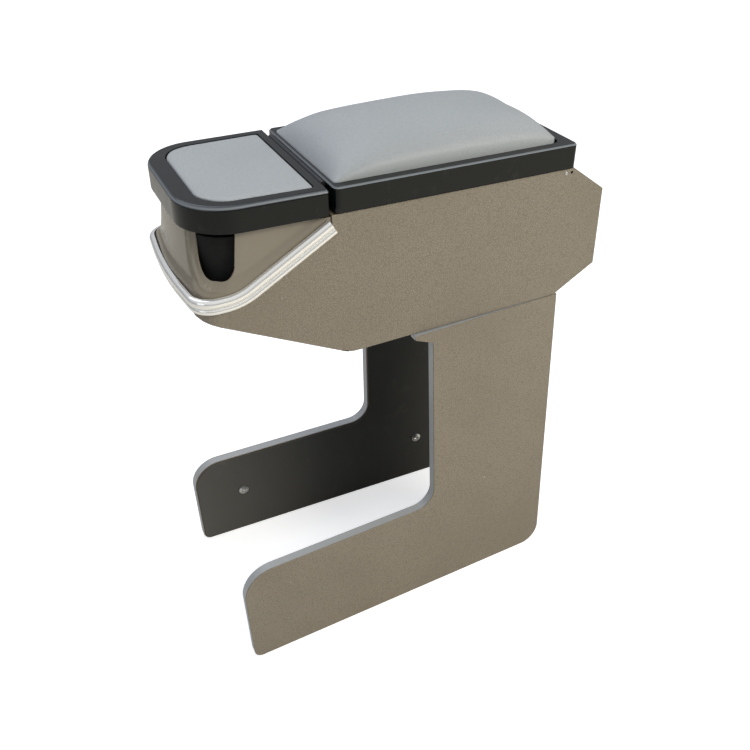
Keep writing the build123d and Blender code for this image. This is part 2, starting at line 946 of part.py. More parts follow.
with BuildPart() as leg_lining:
    add(leg_block(lining_margin, lining_margin))
    add(leg_slab(vinyl + board, leg_thickness), mode=Mode.INTERSECT)
leg_lining_bored = bored(
    bored(leg_lining.part, bracket_side_planes, wood_screw_radius, bracket_screw_length),
    lining_screw_planes,
    wood_screw_radius,
    wood_screw_length,
)
write_pair(leg_lining_bored, "leg_lining")
write_pair(
    fastener_group(
        lining_screw_planes,
        wood_screw_radius,
        wood_screw_length,
        lining_head_radius,
        lining_head_height,
    ),
    "lining_screws",
)

# Steel angles under the cross plate, two on each leg
left_of_plate = leg_slab(-body_width, leg_thickness)
bracket_inner_y = leg_point(bracket_centres[0], plate_bottom, leg_thickness).Y + bracket_plate_arm
with BuildPart() as leg_brackets:
    with Locations(*[(x, 0, plate_bottom) for x in bracket_centres]):
        Box(
            bracket_width,
            2 * body_width,
            bracket_leg_arm,
            align=(Align.CENTER, Align.CENTER, Align.MAX),
        )
    add(leg_slab(leg_thickness, leg_thickness + bracket_steel), mode=Mode.INTERSECT)
    with Locations(*[(x, bracket_inner_y, plate_bottom) for x in bracket_centres]):
        Box(
            bracket_width,
            2 * bracket_plate_arm,
            bracket_steel,
            align=(Align.CENTER, Align.MAX, Align.MAX),
        )
    add(left_of_plate, mode=Mode.SUBTRACT)
bracket_plate_planes = [
    Plane(
        origin=(x, bracket_inner_y - bracket_plate_arm + hole, plate_bottom - bracket_steel),
        z_dir=(0, 0, -1),
    )
    for x in bracket_centres
    for hole in bracket_holes
]
leg_brackets_bored = bored(
    leg_brackets.part,
    bracket_side_planes + bracket_plate_planes,
    wood_screw_radius,
    bracket_screw_length,
)
write_pair(leg_brackets_bored, "leg_brackets")
write_pair(
    fastener_group(
        bracket_side_planes + bracket_plate_planes,
        wood_screw_radius,
        bracket_screw_length,
        wood_head_radius,
        wood_head_height,
    ),
    "bracket_screws",
)

# Cross plate between the legs, under the floor board
plate_front_x = arm_front_x + plate_setback
plate_rear_x = leg_rear_x - plate_rear_margin
bolt_top_planes = [Plane(origin=(x, y, floor_top)) for x, y in bolt_points]
bolt_length = floor_top - plate_bottom + nut_height
with BuildPart() as cross_plate:
    with Locations(((plate_front_x + plate_rear_x) / 2, 0, plate_bottom)):
        Box(
            plate_rear_x - plate_front_x,
            2 * body_width,
            plate_thickness,
            align=(Align.CENTER, Align.CENTER, Align.MIN),
        )
    add(left_of_plate, mode=Mode.SUBTRACT)
    add(mirrored(left_of_plate), mode=Mode.SUBTRACT)
right_plate_planes = [
    Plane(origin=(plane.origin.X, -plane.origin.Y, plane.origin.Z), z_dir=(0, 0, -1))
    for plane in bracket_plate_planes
]
cross_plate_bored = bored(
    bored(cross_plate.part, bolt_top_planes, bolt_radius, bolt_length),
    bracket_plate_planes + right_plate_planes,
    wood_screw_radius,
    bracket_screw_length,
)
write(cross_plate_bored, "cross_plate")
write(
    fastener_group(bolt_top_planes, bolt_radius, bolt_length, bolt_head_radius, bolt_head_height),
    "plate_bolts",
)
with BuildPart() as plate_nuts:
    for x, y in bolt_points:
        with BuildSketch(Plane.XY.offset(plate_bottom - nut_height)):
            with Locations((x, y)):
                RegularPolygon(nut_radius, 6)
                Circle(bolt_radius, mode=Mode.SUBTRACT)
        extrude(amount=nut_height)
write(plate_nuts.part, "plate_nuts")


# Hinges: knuckles on one axis, shared in turn between a body leaf and a lid leaf
def hinge_leaf(axis, plate, width, knuckle_radius, bore_radius, turn):
    """Leaf with every second knuckle, starting with the turn given."""
    pitch = width / knuckle_count
    centres = [(i - (knuckle_count - 1) / 2) * pitch for i in range(knuckle_count)]
    own = [(axis[0], y, axis[1]) for i, y in enumerate(centres) if i % 2 == turn]
    other = [(axis[0], y, axis[1]) for i, y in enumerate(centres) if i % 2 != turn]
    with BuildPart() as leaf:
        with BuildSketch(Plane.XZ):
            with BuildLine():
                Polyline(*plate, close=True)
            make_face()
        extrude(amount=width / 2, both=True)
        with Locations(*other):
            Cylinder(
                knuckle_radius + hinge_clearance,
                pitch + knuckle_gap,
                rotation=(90, 0, 0),
                mode=Mode.SUBTRACT,
            )
        with Locations(*own):
            Cylinder(knuckle_radius, pitch - knuckle_gap, rotation=(90, 0, 0))
        with Locations((axis[0], 0, axis[1])):
            Cylinder(bore_radius, 2 * width, rotation=(90, 0, 0), mode=Mode.SUBTRACT)
    return leaf.part


def hinge_pin(axis, width, radius):
    """Pin through the knuckles."""
    with BuildPart() as pin:
        with Locations((axis[0], 0, axis[1])):
            Cylinder(radius, width - knuckle_gap, rotation=(90, 0, 0))
    return pin.part


def along(point, direction, distance):
    """Point a distance away in a direction of the side view."""
    return (point[0] + direction[0] * distance, point[1] + direction[1] * distance)


def plate_corners(foot, run, length, outward, thickness):
    """Corners of a leaf's plate that starts at a foot and runs along a face."""
    end = along(foot, run, length)
    return [foot, end, along(end, outward, thickness), along(foot, outward, thickness)]


def screw_row(face_point, outward, width, count):
    """Planes spread over the width of a hinge, facing outwards."""
    step = width / count
    return [
        Plane(origin=(face_point[0], (i - (count - 1) / 2) * step, face_point[1]),
              z_dir=(outward[0], 0, outward[1]))
        for i in range(count)
    ]


lid_back = (lid_plane.x_dir.X, lid_plane.x_dir.Z)
lid_up = (lid_plane.z_dir.X, lid_plane.z_dir.Z)
lid_corner = lid_plane.from_local_coords(Vector(rear_lid_length, 0, 0))
lid_corner = (lid_corner.X, lid_corner.Z)

# Rear hinge: one leaf on the lid's back wall, one on the slope behind the lid
tail_run = hypot(tail_x - rear_lid_back_x, body_top(rear_lid_back_x) - tail_high_z)
tail_down = (
    (tail_x - rear_lid_back_x) / tail_run,
    (tail_high_z - body_top(rear_lid_back_x)) / tail_run,
)
tail_out = (-tail_down[1], tail_down[0])
rear_offset = rear_knuckle_radius + hinge_clearance
tail_start = (rear_lid_back_x, body_top(rear_lid_back_x))
offset_start = along(tail_start, tail_out, rear_offset)
offset_back = along(lid_corner, lid_back, rear_offset)
slide = (
    (offset_back[0] - offset_start[0]) * lid_back[0]
    + (offset_back[1] - offset_start[1]) * lid_back[1]
) / (tail_down[0] * lid_back[0] + tail_down[1] * lid_back[1])
rear_axis = along(offset_start, tail_down, slide)
tail_foot = along(rear_axis, tail_out, -rear_offset)
lid_foot = along(rear_axis, lid_back, -rear_offset)
rear_bore = rear_pin_radius + running_gap
rear_body_leaf = hinge_leaf(
    rear_axis,
    plate_corners(tail_foot, tail_down, rear_leaf_length, tail_out, rear_leaf),
    rear_hinge_width,
    rear_knuckle_radius,
    rear_pin_radius,
    0,
)
rear_lid_leaf = hinge_leaf(
    rear_axis,
    plate_corners(lid_foot, lid_up, rear_leaf_length, lid_back, rear_leaf),
    rear_hinge_width,
    rear_knuckle_radius,
    rear_bore,
    1,
)
body_leaf_face = along(along(tail_foot, tail_down, 0.65 * rear_leaf_length), tail_out, rear_leaf)
lid_leaf_face = along(along(lid_foot, lid_up, 0.65 * rear_leaf_length), lid_back, rear_leaf)
body_leaf_planes = screw_row(body_leaf_face, tail_out, rear_hinge_width, 3)
lid_leaf_planes = screw_row(lid_leaf_face, lid_back, rear_hinge_width, 3)
body_shank = rear_leaf + hinge_screw_bite
lid_shank = rear_leaf + lid_wall
write(bored(rear_body_leaf, body_leaf_planes, wood_screw_radius, body_shank), "rear_hinge_body_leaf")
write(bored(rear_lid_leaf, lid_leaf_planes, wood_screw_radius, lid_shank), "rear_hinge_lid_leaf")
write(bored(rear_lid_frame.part, lid_leaf_planes, wood_screw_radius, lid_shank), "rear_lid_frame")
write(bored(body_cover_bored, body_leaf_planes, wood_screw_radius, body_shank), "body_cover")
write(
    bored(mitred_board("tail_high_board"), body_leaf_planes, wood_screw_radius, body_shank),
    "tail_high_board",
)
write(hinge_pin(rear_axis, rear_hinge_width, rear_pin_radius), "rear_hinge_pin")
write(
    fastener_group(
        body_leaf_planes,
        wood_screw_radius,
        body_shank,
        hinge_screw_radius,
        hinge_screw_height,
    ),
    "rear_hinge_body_screws",
)
write(
    fastener_group(
        lid_leaf_planes,
        wood_screw_radius,
        lid_shank,
        hinge_screw_radius,
        hinge_screw_height,
    ),
    "rear_hinge_lid_screws",
)

# Front hinge: its axis lies high in the gap between the lids
front_axis_point = lid_plane.from_local_coords(Vector(-lid_gap / 2, 0, lid_height - front_axis_drop))
front_axis = (front_axis_point.X, front_axis_point.Z)
front_bore = front_pin_radius + running_gap
front_foot = along(front_axis, lid_back, -lid_gap / 2)
leaf_front_x = side_front_x - front_leaf
body_leaf_plate = [
    (leaf_front_x, body_top(side_front_x) - front_leaf_bite),
    (side_front_x, body_top(side_front_x) - front_leaf_bite),
    (side_front_x, front_axis[1] - front_pin_radius - 0.5 * hinge_clearance),
    (leaf_front_x, front_axis[1] - front_pin_radius - 0.5 * hinge_clearance),
]
front_body_leaf = hinge_leaf(
    front_axis,
    body_leaf_plate,
    front_hinge_width,
    front_knuckle_radius,
    front_pin_radius,
    0,
)
front_lid_leaf = hinge_leaf(
    front_axis,
    plate_corners(front_foot, (-lid_up[0], -lid_up[1]), 0.6 * lid_height, lid_back, front_leaf),
    front_hinge_width,
    front_knuckle_radius,
    front_bore,
    1,
)
divider_face = (leaf_front_x, body_top(side_front_x) - 0.5 * front_leaf_bite)
divider_planes = screw_row(divider_face, (-1, 0), front_hinge_width, 3)
rivet_face = along(along(front_foot, lid_up, -0.4 * lid_height), lid_back, front_leaf)
rivet_planes = screw_row(rivet_face, lid_back, front_hinge_width, 3)
rivet_length = front_leaf + lid_wall
divider_shank = front_leaf + hinge_screw_bite
write(
    bored(front_body_leaf, divider_planes, wood_screw_radius, divider_shank),
    "front_hinge_body_leaf",
)
write(bored(divider.part, divider_planes, wood_screw_radius, divider_shank), "divider")
write(bored(front_lid_leaf, rivet_planes, wood_screw_radius, front_leaf), "front_hinge_lid_leaf")
write(hinge_pin(front_axis, front_hinge_width, front_pin_radius), "front_hinge_pin")
write(
    fastener_group(
        divider_planes,
        wood_screw_radius,
        divider_shank,
        hinge_screw_radius,
        hinge_screw_height,
    ),
    "front_hinge_body_screws",
)
with BuildPart() as front_hinge_rivets:
    with Locations(*rivet_planes):
        Cylinder(
            wood_screw_radius,
            rivet_length,
            align=(Align.CENTER, Align.CENTER, Align.MAX),
        )
write(front_hinge_rivets.part, "front_hinge_rivets")
write(
    bored(front_lid_frame.part, rivet_planes, wood_screw_radius, rivet_length),
    "front_lid_frame",
)

# Rubber bumpers under the free ends of the lids
with BuildPart() as rear_lid_bumpers:
    for side in (1, -1):
        with Locations(lid_plane.offset(-lid_rest_gap)):
            with Locations((bumper_length, side * (inner_half + board / 2), 0)):
                Box(
                    bumper_length,
                    2 * bumper_width,
                    lid_rest_gap + lid_base_lift,
                    align=(Align.CENTER, Align.CENTER, Align.MIN),
                )
write(rear_lid_bumpers.part, "rear_lid_bumpers")
with BuildPart() as front_lid_bumpers:
    add(nose_block(fit_gap, side_front_x))
    add(nose_block(nose_wall - fit_gap, side_front_x + half), mode=Mode.SUBTRACT)
    with Locations(nose_top_plane):
        with Locations(*[(nose_x - split_x, side * bumper_span / 4, 0) for side in (1, -1)]):
            Box(
                half,
                bumper_length,
                nose_lid_gap + lid_base_lift,
                align=(Align.CENTER, Align.CENTER, Align.MIN),
                mode=Mode.INTERSECT,
            )
write(front_lid_bumpers.part, "front_lid_bumpers")
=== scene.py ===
"""Looks of an armrest console that straddles the tunnel between two car seats.

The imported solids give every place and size. This file dresses them: grained leathercloth over
the boarded box and legs, a glossy moulded nose with its two finger notches, the bright
double-bead strip, satin black lid frames, and the padded leatherette tops.
"""

import json
import logging
from collections.abc import Iterable, Sequence
from dataclasses import dataclass, field
from enum import Enum
from typing import Any

import bmesh
import bpy
import numpy as np
from mathutils import Matrix, Vector
from mathutils.bvhtree import BVHTree


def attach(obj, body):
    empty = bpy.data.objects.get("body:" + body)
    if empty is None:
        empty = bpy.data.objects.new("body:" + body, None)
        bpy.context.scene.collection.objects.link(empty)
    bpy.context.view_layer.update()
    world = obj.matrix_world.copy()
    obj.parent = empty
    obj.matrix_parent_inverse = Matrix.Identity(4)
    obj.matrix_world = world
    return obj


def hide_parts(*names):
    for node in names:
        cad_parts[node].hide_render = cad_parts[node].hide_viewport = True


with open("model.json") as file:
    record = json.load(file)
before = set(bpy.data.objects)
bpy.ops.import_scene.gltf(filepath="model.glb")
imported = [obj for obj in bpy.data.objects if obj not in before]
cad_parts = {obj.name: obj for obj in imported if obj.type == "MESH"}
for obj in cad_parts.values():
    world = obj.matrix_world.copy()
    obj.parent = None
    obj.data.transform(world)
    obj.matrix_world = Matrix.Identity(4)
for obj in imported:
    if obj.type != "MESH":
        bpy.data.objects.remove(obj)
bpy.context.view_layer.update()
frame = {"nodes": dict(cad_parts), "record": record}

log = logging.getLogger("console")
MM = 0.001
MERGE_MM = 0.01
# Name of the mark that places the painted highlight on rounded upper edges.
PAINTED_EDGE_HIGHLIGHT = "painted_edge_highlight"

# A colour Mix node's sockets are reached by number, because their names repeat.
MIX_SHARE, MIX_UNDER, MIX_OVER, MIXED = 0, 6, 7, 2

Array = np.ndarray
Material = bpy.types.Material
NodeTree = bpy.types.NodeTree
Object = bpy.types.Object
Socket = bpy.types.NodeSocket
Span = tuple[float, float]


class Side(Enum):
    """Left is the side towards -Y, right the side towards +Y."""

    LEFT = -1
    RIGHT = 1


class Body(Enum):
    """The rigid bodies that pieces ride on."""

    CONSOLE = "console_body"
    REAR_LID = "rear_lid"
    FRONT_LID = "front_lid"


def linear(hex_colour: str) -> tuple[float, float, float, float]:
    """Turns an sRGB hex colour into the linear values that a shader takes.

    Args:
        hex_colour: Six hex digits after a hash sign.

    Returns:
        Linear red, green, blue and an alpha of one.
    """
    parts = np.array([int(hex_colour[i : i + 2], 16) for i in (1, 3, 5)]) / 255
    low = parts / 12.92
    high = ((parts + 0.055) / 1.055) ** 2.4
    red, green, blue = np.where(parts <= 0.04045, low, high)
    return (float(red), float(green), float(blue), 1.0)


def add_node(
    tree: NodeTree,
    kind: str,
    inputs: dict[str | int, Any] | Sequence[Any] = (),
    **settings: Any,
) -> bpy.types.Node:
    """Adds one node with its settings, its values and its links.

    Args:
        tree: The tree that gets the node.
        kind: Blender's type name of the node.
        inputs: Values of its sockets, or the sockets that feed them, by name or number, or
            as a row in the order of its sockets.
        settings: Attributes of the node.

    Returns:
        The new node.
    """
    node = tree.nodes.new(kind)
    for name, value in settings.items():
        setattr(node, name, value)
    for key, value in inputs.items() if isinstance(inputs, dict) else enumerate(inputs):
        if isinstance(value, Socket):
            tree.links.new(value, node.inputs[key])
        else:
            node.inputs[key].default_value = value
    return node


def blank_material(name: str) -> tuple[Material, NodeTree]:
    """A material with an empty node tree."""
    material = bpy.data.materials.new(name)
    material.use_nodes = True
    material.node_tree.nodes.clear()
    return material, material.node_tree


@dataclass(frozen=True)
class Coat:
    """A colour that shows by its shares while a pattern crosses the span."""

    colour: str
    pattern: Socket
    span: Span = (0.0, 1.0)
    shares: Span = (0.0, 1.0)


def coated(tree: NodeTree, base: str, coats: Iterable[Coat]) -> Socket:
    """Lays coats of colour over a base colour.

    A coat's share runs from its first value to its second one while the pattern crosses the
    span, and is held beyond both ends.

    Args:
        tree: The tree that gets the nodes.
        base: Colour under the coats.
        coats: The coats, the lowest one first.

    Returns:
        The socket with the finished colour.
    """
    under: Any = linear(base)
    for coat in coats:
        share = add_node(tree, "ShaderNodeMapRange", (coat.pattern, *coat.span, *coat.shares))
        mix = add_node(
            tree,
            "ShaderNodeMix",
            {MIX_SHARE: share.outputs[0], MIX_UNDER: under, MIX_OVER: linear(coat.colour)},
            data_type="RGBA",
        )
        under = mix.outputs[MIXED]
    return under


class Finish:
    """A finish whose pattern is drawn on Object coordinates, in real millimetres.

    In each finish, a span is the range of a noise over which its pattern fades in.
    """

    name: str

    def inputs(self, tree: NodeTree, place: Socket) -> dict[str, Any]:
        """Draws the pattern.

        Args:
            tree: The tree that gets the nodes.
            place: Socket with the place on the piece.

        Returns:
            Values and sockets for the Principled shader.
        """
        raise NotImplementedError

    def material(self) -> Material:
        """Builds the finish: its pattern feeds one Principled shader.

        Returns:
            The finished material.
        """
        material, tree = blank_material(self.name)
        place = add_node(tree, "ShaderNodeTexCoord").outputs["Object"]
        shader = add_node(tree, "ShaderNodeBsdfPrincipled", self.inputs(tree, place))
        add_node(tree, "ShaderNodeOutputMaterial", {"Surface": shader.outputs["BSDF"]})
        return material


@dataclass(frozen=True)
class Leathercloth(Finish):
    """Embossed PVC leathercloth: small raised cells with a soft satin shine.

    The cells are about 1 mm on the real cloth, and are drawn a little coarser so that they
    show. They give the eye an even, fine speckle that darkens in the valleys.
    """

    name: str
    colour: str
    valley: str
    cell_mm: float = 1.7
    valley_span: Span = (0.0, 0.24)
    depth_mm: float = 0.10
    relief: float = 0.9
    crease_share: float = 0.45
    crease_span: Span = (0.3, 0.7)
    roughness: float = 0.55
    roughness_swing: Span = (-0.06, 0.08)
    patch_mm: float = 90.0
    patch_span: Span = (0.42, 0.68)
    patch_share: float = 0.35
    shine: float = 0.5
    sheen: float = 0.0
    sheen_roughness: float = 0.4
    speck_mm: float = 6.0
    speck_span: Span = (0.82, 0.85)
    speck_share: float = 0.0
    speck_colour: str = "#D8D4C8"

    def inputs(self, tree: NodeTree, place: Socket) -> dict[str, Any]:
        """Cells lower and darken the valleys, patches look worn, specks are dust.

        Args:
            tree: The tree that gets the nodes.
            place: Socket with the place on the piece.

        Returns:
            Values and sockets for the Principled shader.
        """
        cells = add_node(
            tree,
            "ShaderNodeTexVoronoi",
            {"Vector": place, "Scale": 1 / (self.cell_mm * MM)},
            feature="DISTANCE_TO_EDGE",
        ).outputs["Distance"]
        creases = add_node(
            tree,
            "ShaderNodeTexNoise",
            {"Vector": place, "Scale": self.crease_share / (self.cell_mm * MM), "Detail": 3.0},
        ).outputs["Fac"]
        patches = add_node(
            tree,
            "ShaderNodeTexNoise",
            {"Vector": place, "Scale": 1 / (self.patch_mm * MM), "Detail": 1.5},
        ).outputs["Fac"]
        coats = [
            Coat(self.valley, cells, self.valley_span, (1.0, 0.0)),
            Coat(self.valley, patches, self.patch_span, (0.0, self.patch_share)),
        ]
        if self.speck_share:
            specks = add_node(
                tree,
                "ShaderNodeTexNoise",
                {"Vector": place, "Scale": 1 / (self.speck_mm * MM), "Detail": 1.0},
            ).outputs["Fac"]
            coats.append(Coat(self.speck_colour, specks, self.speck_span, (0.0, self.speck_share)))
        valley = add_node(tree, "ShaderNodeMapRange", (cells, *self.valley_span, 1.0, 0.0))
        height = add_node(
            tree,
            "ShaderNodeMath",
            (creases, valley.outputs[0]),
            operation="SUBTRACT",
        )
        bump = add_node(
            tree,
            "ShaderNodeBump",
            {
                "Height": height.outputs[0],
                "Distance": self.depth_mm * MM,
                "Strength": self.relief,
            },
        )
        swing = [self.roughness + change for change in self.roughness_swing]
        rough = add_node(tree, "ShaderNodeMapRange", (creases, *self.crease_span, *swing))
        return {
            "Base Color": coated(tree, self.colour, coats),
            "Roughness": rough.outputs[0],
            "Normal": bump.outputs["Normal"],
            "Specular IOR Level": self.shine,
            "Sheen Weight": self.sheen,
            "Sheen Roughness": self.sheen_roughness,
        }


@dataclass(frozen=True)
class MouldedPlastic(Finish):
    """Injection moulded ABS: even colour, faint waviness and a few rubbed scuffs.

    Smooth mould steel leaves a low roughness, and handling dulls it in patches. A painted
    sheen may lighten one end, and rounded upper edges may carry a painted highlight.
    """

    name: str
    colour: str
    roughness: float = 0.28
    roughness_swing: Span = (-0.02, 0.12)
    dull_span: Span = (0.35, 0.75)
    shine: float = 0.5
    scuff_colour: str = "#6A6A68"
    scuff_share: float = 0.0
    scuff_mm: float = 14.0
    scuff_span: Span = (0.58, 0.72)
    wave_mm: float = 30.0
    wave_depth_mm: float = 0.05
    relief: float = 0.5
    # Colour of the painted highlight on rounded upper edges; empty for none.
    edge_highlight_colour: str = ""
    # A painted sheen: a lighter colour that fades along x from the first place to the second.
    painted_sheen_x_mm: Span | None = None
    painted_sheen_share: float = 0.0
    painted_sheen_colour: str = "#A39F94"

    def inputs(self, tree: NodeTree, place: Socket) -> dict[str, Any]:
        """Scuffs change colour and gloss, waves bend the reflections.

        Args:
            tree: The tree that gets the nodes.
            place: Socket with the place on the piece.

        Returns:
            Values and sockets for the Principled shader.
        """
        waves = add_node(
            tree,
            "ShaderNodeTexNoise",
            {"Vector": place, "Scale": 1 / (self.wave_mm * MM), "Detail": 2.0},
        ).outputs["Fac"]
        scuffs = add_node(
            tree,
            "ShaderNodeTexNoise",
            {
                "Vector": place,
                "Scale": 1 / (self.scuff_mm * MM),
                "Detail": 6.0,
                "Roughness": 0.7,
            },
        ).outputs["Fac"]
        coats = [Coat(self.scuff_colour, scuffs, self.scuff_span, (0.0, self.scuff_share))]
        # Painted sheen: the colour is lighter towards the first place along x, standing in for
        # light caught there.
        if self.painted_sheen_x_mm:
            along = add_node(tree, "ShaderNodeSeparateXYZ", {"Vector": place}).outputs["X"]
            near, far = self.painted_sheen_x_mm
            span = (near * MM, far * MM)
            coats.append(Coat(self.painted_sheen_colour, along, span, (self.painted_sheen_share, 0.0)))
        # Painted highlight: rounded upper edges get a lighter colour, fading by their tilt.
        if self.edge_highlight_colour:
            edge = add_node(tree, "ShaderNodeAttribute", attribute_name=PAINTED_EDGE_HIGHLIGHT)
            coats.append(Coat(self.edge_highlight_colour, edge.outputs["Fac"]))
        swing = [self.roughness + change for change in self.roughness_swing]
        rough = add_node(tree, "ShaderNodeMapRange", (scuffs, *self.dull_span, *swing))
        bump = add_node(
            tree,
            "ShaderNodeBump",
            {"Height": waves, "Distance": self.wave_depth_mm * MM, "Strength": self.relief},
        )
        return {
            "Base Color": coated(tree, self.colour, coats),
            "Roughness": rough.outputs[0],
            "Normal": bump.outputs["Normal"],
            "Specular IOR Level": self.shine,
        }


@dataclass(frozen=True)
class PlatedMetal(Finish):
    """Plated or painted metal: a bright film that shows the room in it.

    Chromium over polished nickel is nearly a mirror, zinc plate is duller and cloudier, and
    black paint keeps a soft highlight.
    """

    name: str
    colour: str
    roughness: float = 0.08
    metallic: float = 1.0
    cloud_mm: float = 12.0
    cloud_span: Span = (0.35, 0.7)
    cloud_share: float = 0.06

    def inputs(self, tree: NodeTree, place: Socket) -> dict[str, Any]:
        """Clouds dull the film.

        Args:
            tree: The tree that gets the nodes.
            place: Socket with the place on the piece.

        Returns:
            Values and sockets for the Principled shader.
        """
        clouds = add_node(
            tree,
            "ShaderNodeTexNoise",
            {"Vector": place, "Scale": 1 / (self.cloud_mm * MM), "Detail": 5.0},
        ).outputs["Fac"]
        swing = (self.roughness, self.roughness + self.cloud_share)
        rough = add_node(tree, "ShaderNodeMapRange", (clouds, *self.cloud_span, *swing))
        return {
            "Base Color": linear(self.colour),
            "Metallic": self.metallic,
            "Roughness": rough.outputs[0],
        }


@dataclass(frozen=True)
class Fibreboard(Finish):
    """Medium-density fibreboard: matt tan board with fine felted fibres."""

    name: str
    colour: str = "#7A6C58"
    dark: str = "#5F5341"
    fibre_mm: float = 2.2
    fibre_span: Span = (0.35, 0.7)
    depth_mm: float = 0.1
    relief: float = 0.5
    roughness: float = 0.9

    def inputs(self, tree: NodeTree, place: Socket) -> dict[str, Any]:
        """Fibres darken and raise the face.

        Args:
            tree: The tree that gets the nodes.
            place: Socket with the place on the piece.

        Returns:
            Values and sockets for the Principled shader.
        """
        fibres = add_node(
            tree,
            "ShaderNodeTexNoise",
            {
                "Vector": place,
                "Scale": 1 / (self.fibre_mm * MM),
                "Detail": 6.0,
                "Roughness": 0.75,
            },
        ).outputs["Fac"]
        bump = add_node(
            tree,
            "ShaderNodeBump",
            {"Height": fibres, "Distance": self.depth_mm * MM, "Strength": self.relief},
        )
        return {
            "Base Color": coated(tree, self.colour, [Coat(self.dark, fibres, self.fibre_span)]),
            "Roughness": self.roughness,
            "Normal": bump.outputs["Normal"],
        }


# The finish of each material slot of the record.
FINISHES: dict[str, Finish] = {
    "taupe_vinyl": Leathercloth(
        "taupe grained leathercloth",
        colour="#908776",
        valley="#7A7161",
        shine=0.3,
        speck_share=0.5,
    ),
    "edge_band": MouldedPlastic(
        "grey PVC edge band",
        colour="#9EA09F",
        roughness=0.36,
        scuff_colour="#B4B5B1",
        scuff_share=0.5,
    ),
    "black_lining": MouldedPlastic(
        "black faced lining sheet",
        colour="#31312E",
        roughness=0.42,
        shine=0.34,
        scuff_colour="#46463F",
        scuff_share=0.6,
        scuff_mm=30.0,
        # Painted sheen: the lining is lighter towards its front end.
        painted_sheen_x_mm=(-182.0, 10.0),
        painted_sheen_share=0.16,
    ),
    "board": Fibreboard("fibreboard"),
    "nose_plastic": MouldedPlastic(
        "glossy taupe ABS",
        colour="#857D6D",
        roughness=0.20,
        shine=0.36,
        scuff_colour="#A39C8D",
        scuff_share=0.25,
        scuff_mm=22.0,
        wave_depth_mm=0.12,
    ),
    "tub_plastic": MouldedPlastic("matt black polypropylene", colour="#040404", roughness=0.85),
    "chrome": PlatedMetal("chromium plated strip", colour="#F8F7F2", metallic=0.62),
    "black_plastic": MouldedPlastic(
        "satin black ABS",
        colour="#0F1212",
        roughness=0.19,
        roughness_swing=(-0.02, 0.07),
        shine=0.28,
        scuff_colour="#383A3A",
        scuff_share=0.25,
        # The lighter colour on its rounded upper edges is a painted highlight.
        edge_highlight_colour="#82878A",
    ),
    "lid_base": MouldedPlastic("black lid base", colour="#171717", roughness=0.6),
    "grey_leatherette": Leathercloth(
        "blue-grey leatherette",
        colour="#A4A7A7",
        valley="#939797",
        cell_mm=1.3,
        depth_mm=0.05,
        roughness=0.5,
        patch_share=0.5,
        sheen=0.08,
    ),
    "steel": PlatedMetal("zinc plated steel", colour="#C9CACA", roughness=0.28, cloud_share=0.15),
    "hinge_steel": PlatedMetal(
        "black painted steel",
        colour="#17181A",
        roughness=0.35,
        metallic=0.4,
    ),
    "rubber": MouldedPlastic("black rubber", colour="#101010", roughness=0.8),
}


def in_scene(name: str, data: Any) -> Object:
    """A new object with this data, at the origin of the scene."""
    thing = bpy.data.objects.new(name, data)
    bpy.context.scene.collection.objects.link(thing)
    return thing


def grid_faces(rows: int, columns: int, wrap: bool = False) -> Array:
    """Quads of a grid whose vertices are numbered row by row.

    Args:
        rows: Number of rows of vertices.
        columns: Number of vertices in a row.
        wrap: Whether the last column joins the first.

    Returns:
        One row of four vertex numbers for each quad.
    """
    row, column = np.meshgrid(
        np.arange(rows - 1),
        np.arange(columns if wrap else columns - 1),
        indexing="ij",
    )
    after = (column + 1) % columns
    corners = [
        row * columns + column,
        row * columns + after,
        (row + 1) * columns + after,
        (row + 1) * columns + column,
    ]
    return np.stack(corners, axis=-1).reshape(-1, 4)


def make_piece(name: str, points: Array, faces: Sequence[Sequence[int]]) -> Object:
    """Puts points, in millimetres, and faces into a new smooth mesh object.

    Doubled vertices are merged, every face is turned outwards, and vertices that no face
    uses are deleted.

    Args:
        name: Name of the piece.
        points: Any array whose last axis is x, y, z.
        faces: Vertex numbers of each face.

    Returns:
        The new object, at the origin.
    """
    mesh = bpy.data.meshes.new(name)
    mesh.from_pydata((points.reshape(-1, 3) * MM).tolist(), [], [list(map(int, f)) for f in faces])
    mesh.validate()
    mesh.shade_smooth()
    work = bmesh.new()
    work.from_mesh(mesh)
    bmesh.ops.remove_doubles(work, verts=work.verts, dist=MERGE_MM * MM)
    bmesh.ops.recalc_face_normals(work, faces=work.faces)
    loose = [vertex for vertex in work.verts if not vertex.link_faces]
    bmesh.ops.delete(work, geom=loose, context="VERTS")
    work.to_mesh(mesh)
    work.free()
    return in_scene(name, mesh)


